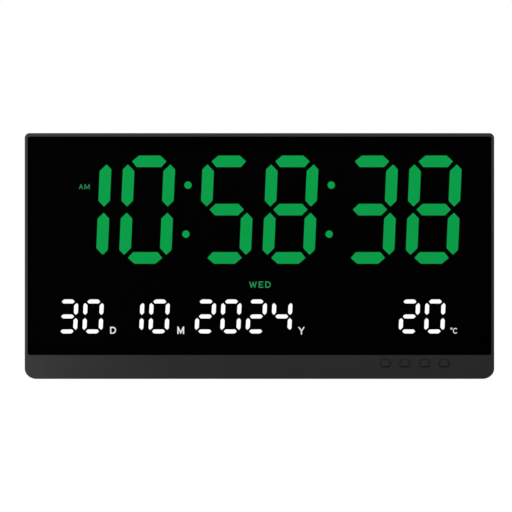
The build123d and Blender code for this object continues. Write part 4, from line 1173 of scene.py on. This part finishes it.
class CLOCK_OT_drive_screws(Operator):
    """Drive cross-recess screws through the rear cover and the boards"""

    bl_idname = "clock.drive_screws"
    bl_label = "Drive screws"

    def execute(self, context):
        details = context.scene.clock_details
        zinc = metal_finish("zinc_plate")
        tree = screw_tree()
        for node, (head_radius, head_height, shank_radius, scale) in SCREWS.items():
            boxes = solid_boxes(node)
            length = boxes[0][1].y - boxes[0][0].y
            mesh = grow(
                f"{node}_crossed",
                [at_depth(middle(box), box[1].y - head_height) for box in boxes],
                tree,
                {
                    "Finish": zinc,
                    "Head Radius": head_radius,
                    "Head Height": head_height,
                    "Shank Radius": shank_radius,
                    "Shank Length": length - head_height,
                    "Recess Width": details.recess_width * scale,
                    "Recess Depth": details.recess_depth * scale,
                },
            )
            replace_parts(add_piece(f"{node}_crossed", mesh, CASE), node)
        return {"FINISHED"}


class CLOCK_OT_print_marks(Operator):
    """Print the pointer on the battery cap and the lock marks beside it"""

    bl_idname = "clock.print_marks"
    bl_label = "Print marks"

    def execute(self, context):
        details = context.scene.clock_details
        ink = plain_finish("pad_print")
        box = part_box("battery_cap")
        axis = at_depth(middle(box), box[1].y)
        pointer = printed_mesh("cap_pointer", [POINTER], axis, details.ink_thickness)
        pointer.materials.append(ink)
        add_piece("cap_pointer", pointer, CAP)
        beside = at_depth(axis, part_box("rear_cover")[1].y)
        disc = disc_outline(details.mark_radius)
        hole = disc_outline(details.mark_radius * MARK_HOLE)
        for name, turn, rings in (("lock_mark", 0.0, [disc]), ("open_mark", radians(CAP_TURN), [disc, hole])):
            centre = beside + Vector((cos(turn), 0.0, -sin(turn))) * details.mark_reach
            mark = printed_mesh(name, rings, centre, details.ink_thickness)
            mark.materials.append(ink)
            add_piece(name, mark, CASE)
        return {"FINISHED"}


class CLOCK_OT_set_studio(Operator):
    """Set the floor, lamps, surroundings and camera"""

    bl_idname = "clock.set_studio"
    bl_label = "Set studio"

    def execute(self, context):
        scene = context.scene
        studio = scene.clock_studio
        centre = middle(CAD_BOX)
        eye = at_depth(centre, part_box("front_frame")[0].y - studio.view_distance)
        floor = lay_floor(studio, centre)
        card = hang_card(studio, eye)
        hang_lamps(studio, centre)
        scene.world = fill_air(studio)
        scene.camera = set_camera(studio, eye)
        scene.view_settings.view_transform = "Standard"
        return {"FINISHED"}


class VIEW3D_PT_wall_clock(Panel):
    """The clock's values and the steps that dress it"""

    bl_label = "Wall clock"
    bl_space_type = "VIEW_3D"
    bl_region_type = "UI"
    bl_category = "Wall clock"

    def draw(self, context):
        for group in GROUPS:
            values = getattr(context.scene, group)
            box = self.layout.box()
            for name in values.__annotations__:
                box.prop(values, name)
        for step in STEPS:
            self.layout.operator(step.bl_idname)


GROUPS = {"clock_finishes": ClockFinishes, "clock_details": ClockDetails, "clock_studio": ClockStudio}
STEPS = (
    CLOCK_OT_dress_case,
    CLOCK_OT_dress_panel,
    CLOCK_OT_light_figures,
    CLOCK_OT_set_legends,
    CLOCK_OT_dress_keys,
    CLOCK_OT_dress_boards,
    CLOCK_OT_solder_legs,
    CLOCK_OT_drive_screws,
    CLOCK_OT_print_marks,
    CLOCK_OT_set_studio,
)
CLASSES = (*GROUPS.values(), *STEPS, VIEW3D_PT_wall_clock)


def register():
    """Make the clock's values, steps and panel known to Blender."""
    for kind in CLASSES:
        bpy.utils.register_class(kind)
    for name, group in GROUPS.items():
        setattr(bpy.types.Scene, name, PointerProperty(type=group))


def unregister():
    """Take the clock's values, steps and panel out of Blender."""
    for name in GROUPS:
        delattr(bpy.types.Scene, name)
    for kind in reversed(CLASSES):
        bpy.utils.unregister_class(kind)


def main():
    """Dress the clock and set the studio."""
    register()
    bpy.ops.clock.dress_case()
    bpy.ops.clock.dress_panel()
    bpy.ops.clock.light_figures()
    bpy.ops.clock.set_legends()
    bpy.ops.clock.dress_keys()
    bpy.ops.clock.dress_boards()
    bpy.ops.clock.solder_legs()
    bpy.ops.clock.drive_screws()
    bpy.ops.clock.print_marks()
    bpy.ops.clock.set_studio()


if __name__ == "__main__":
    main()
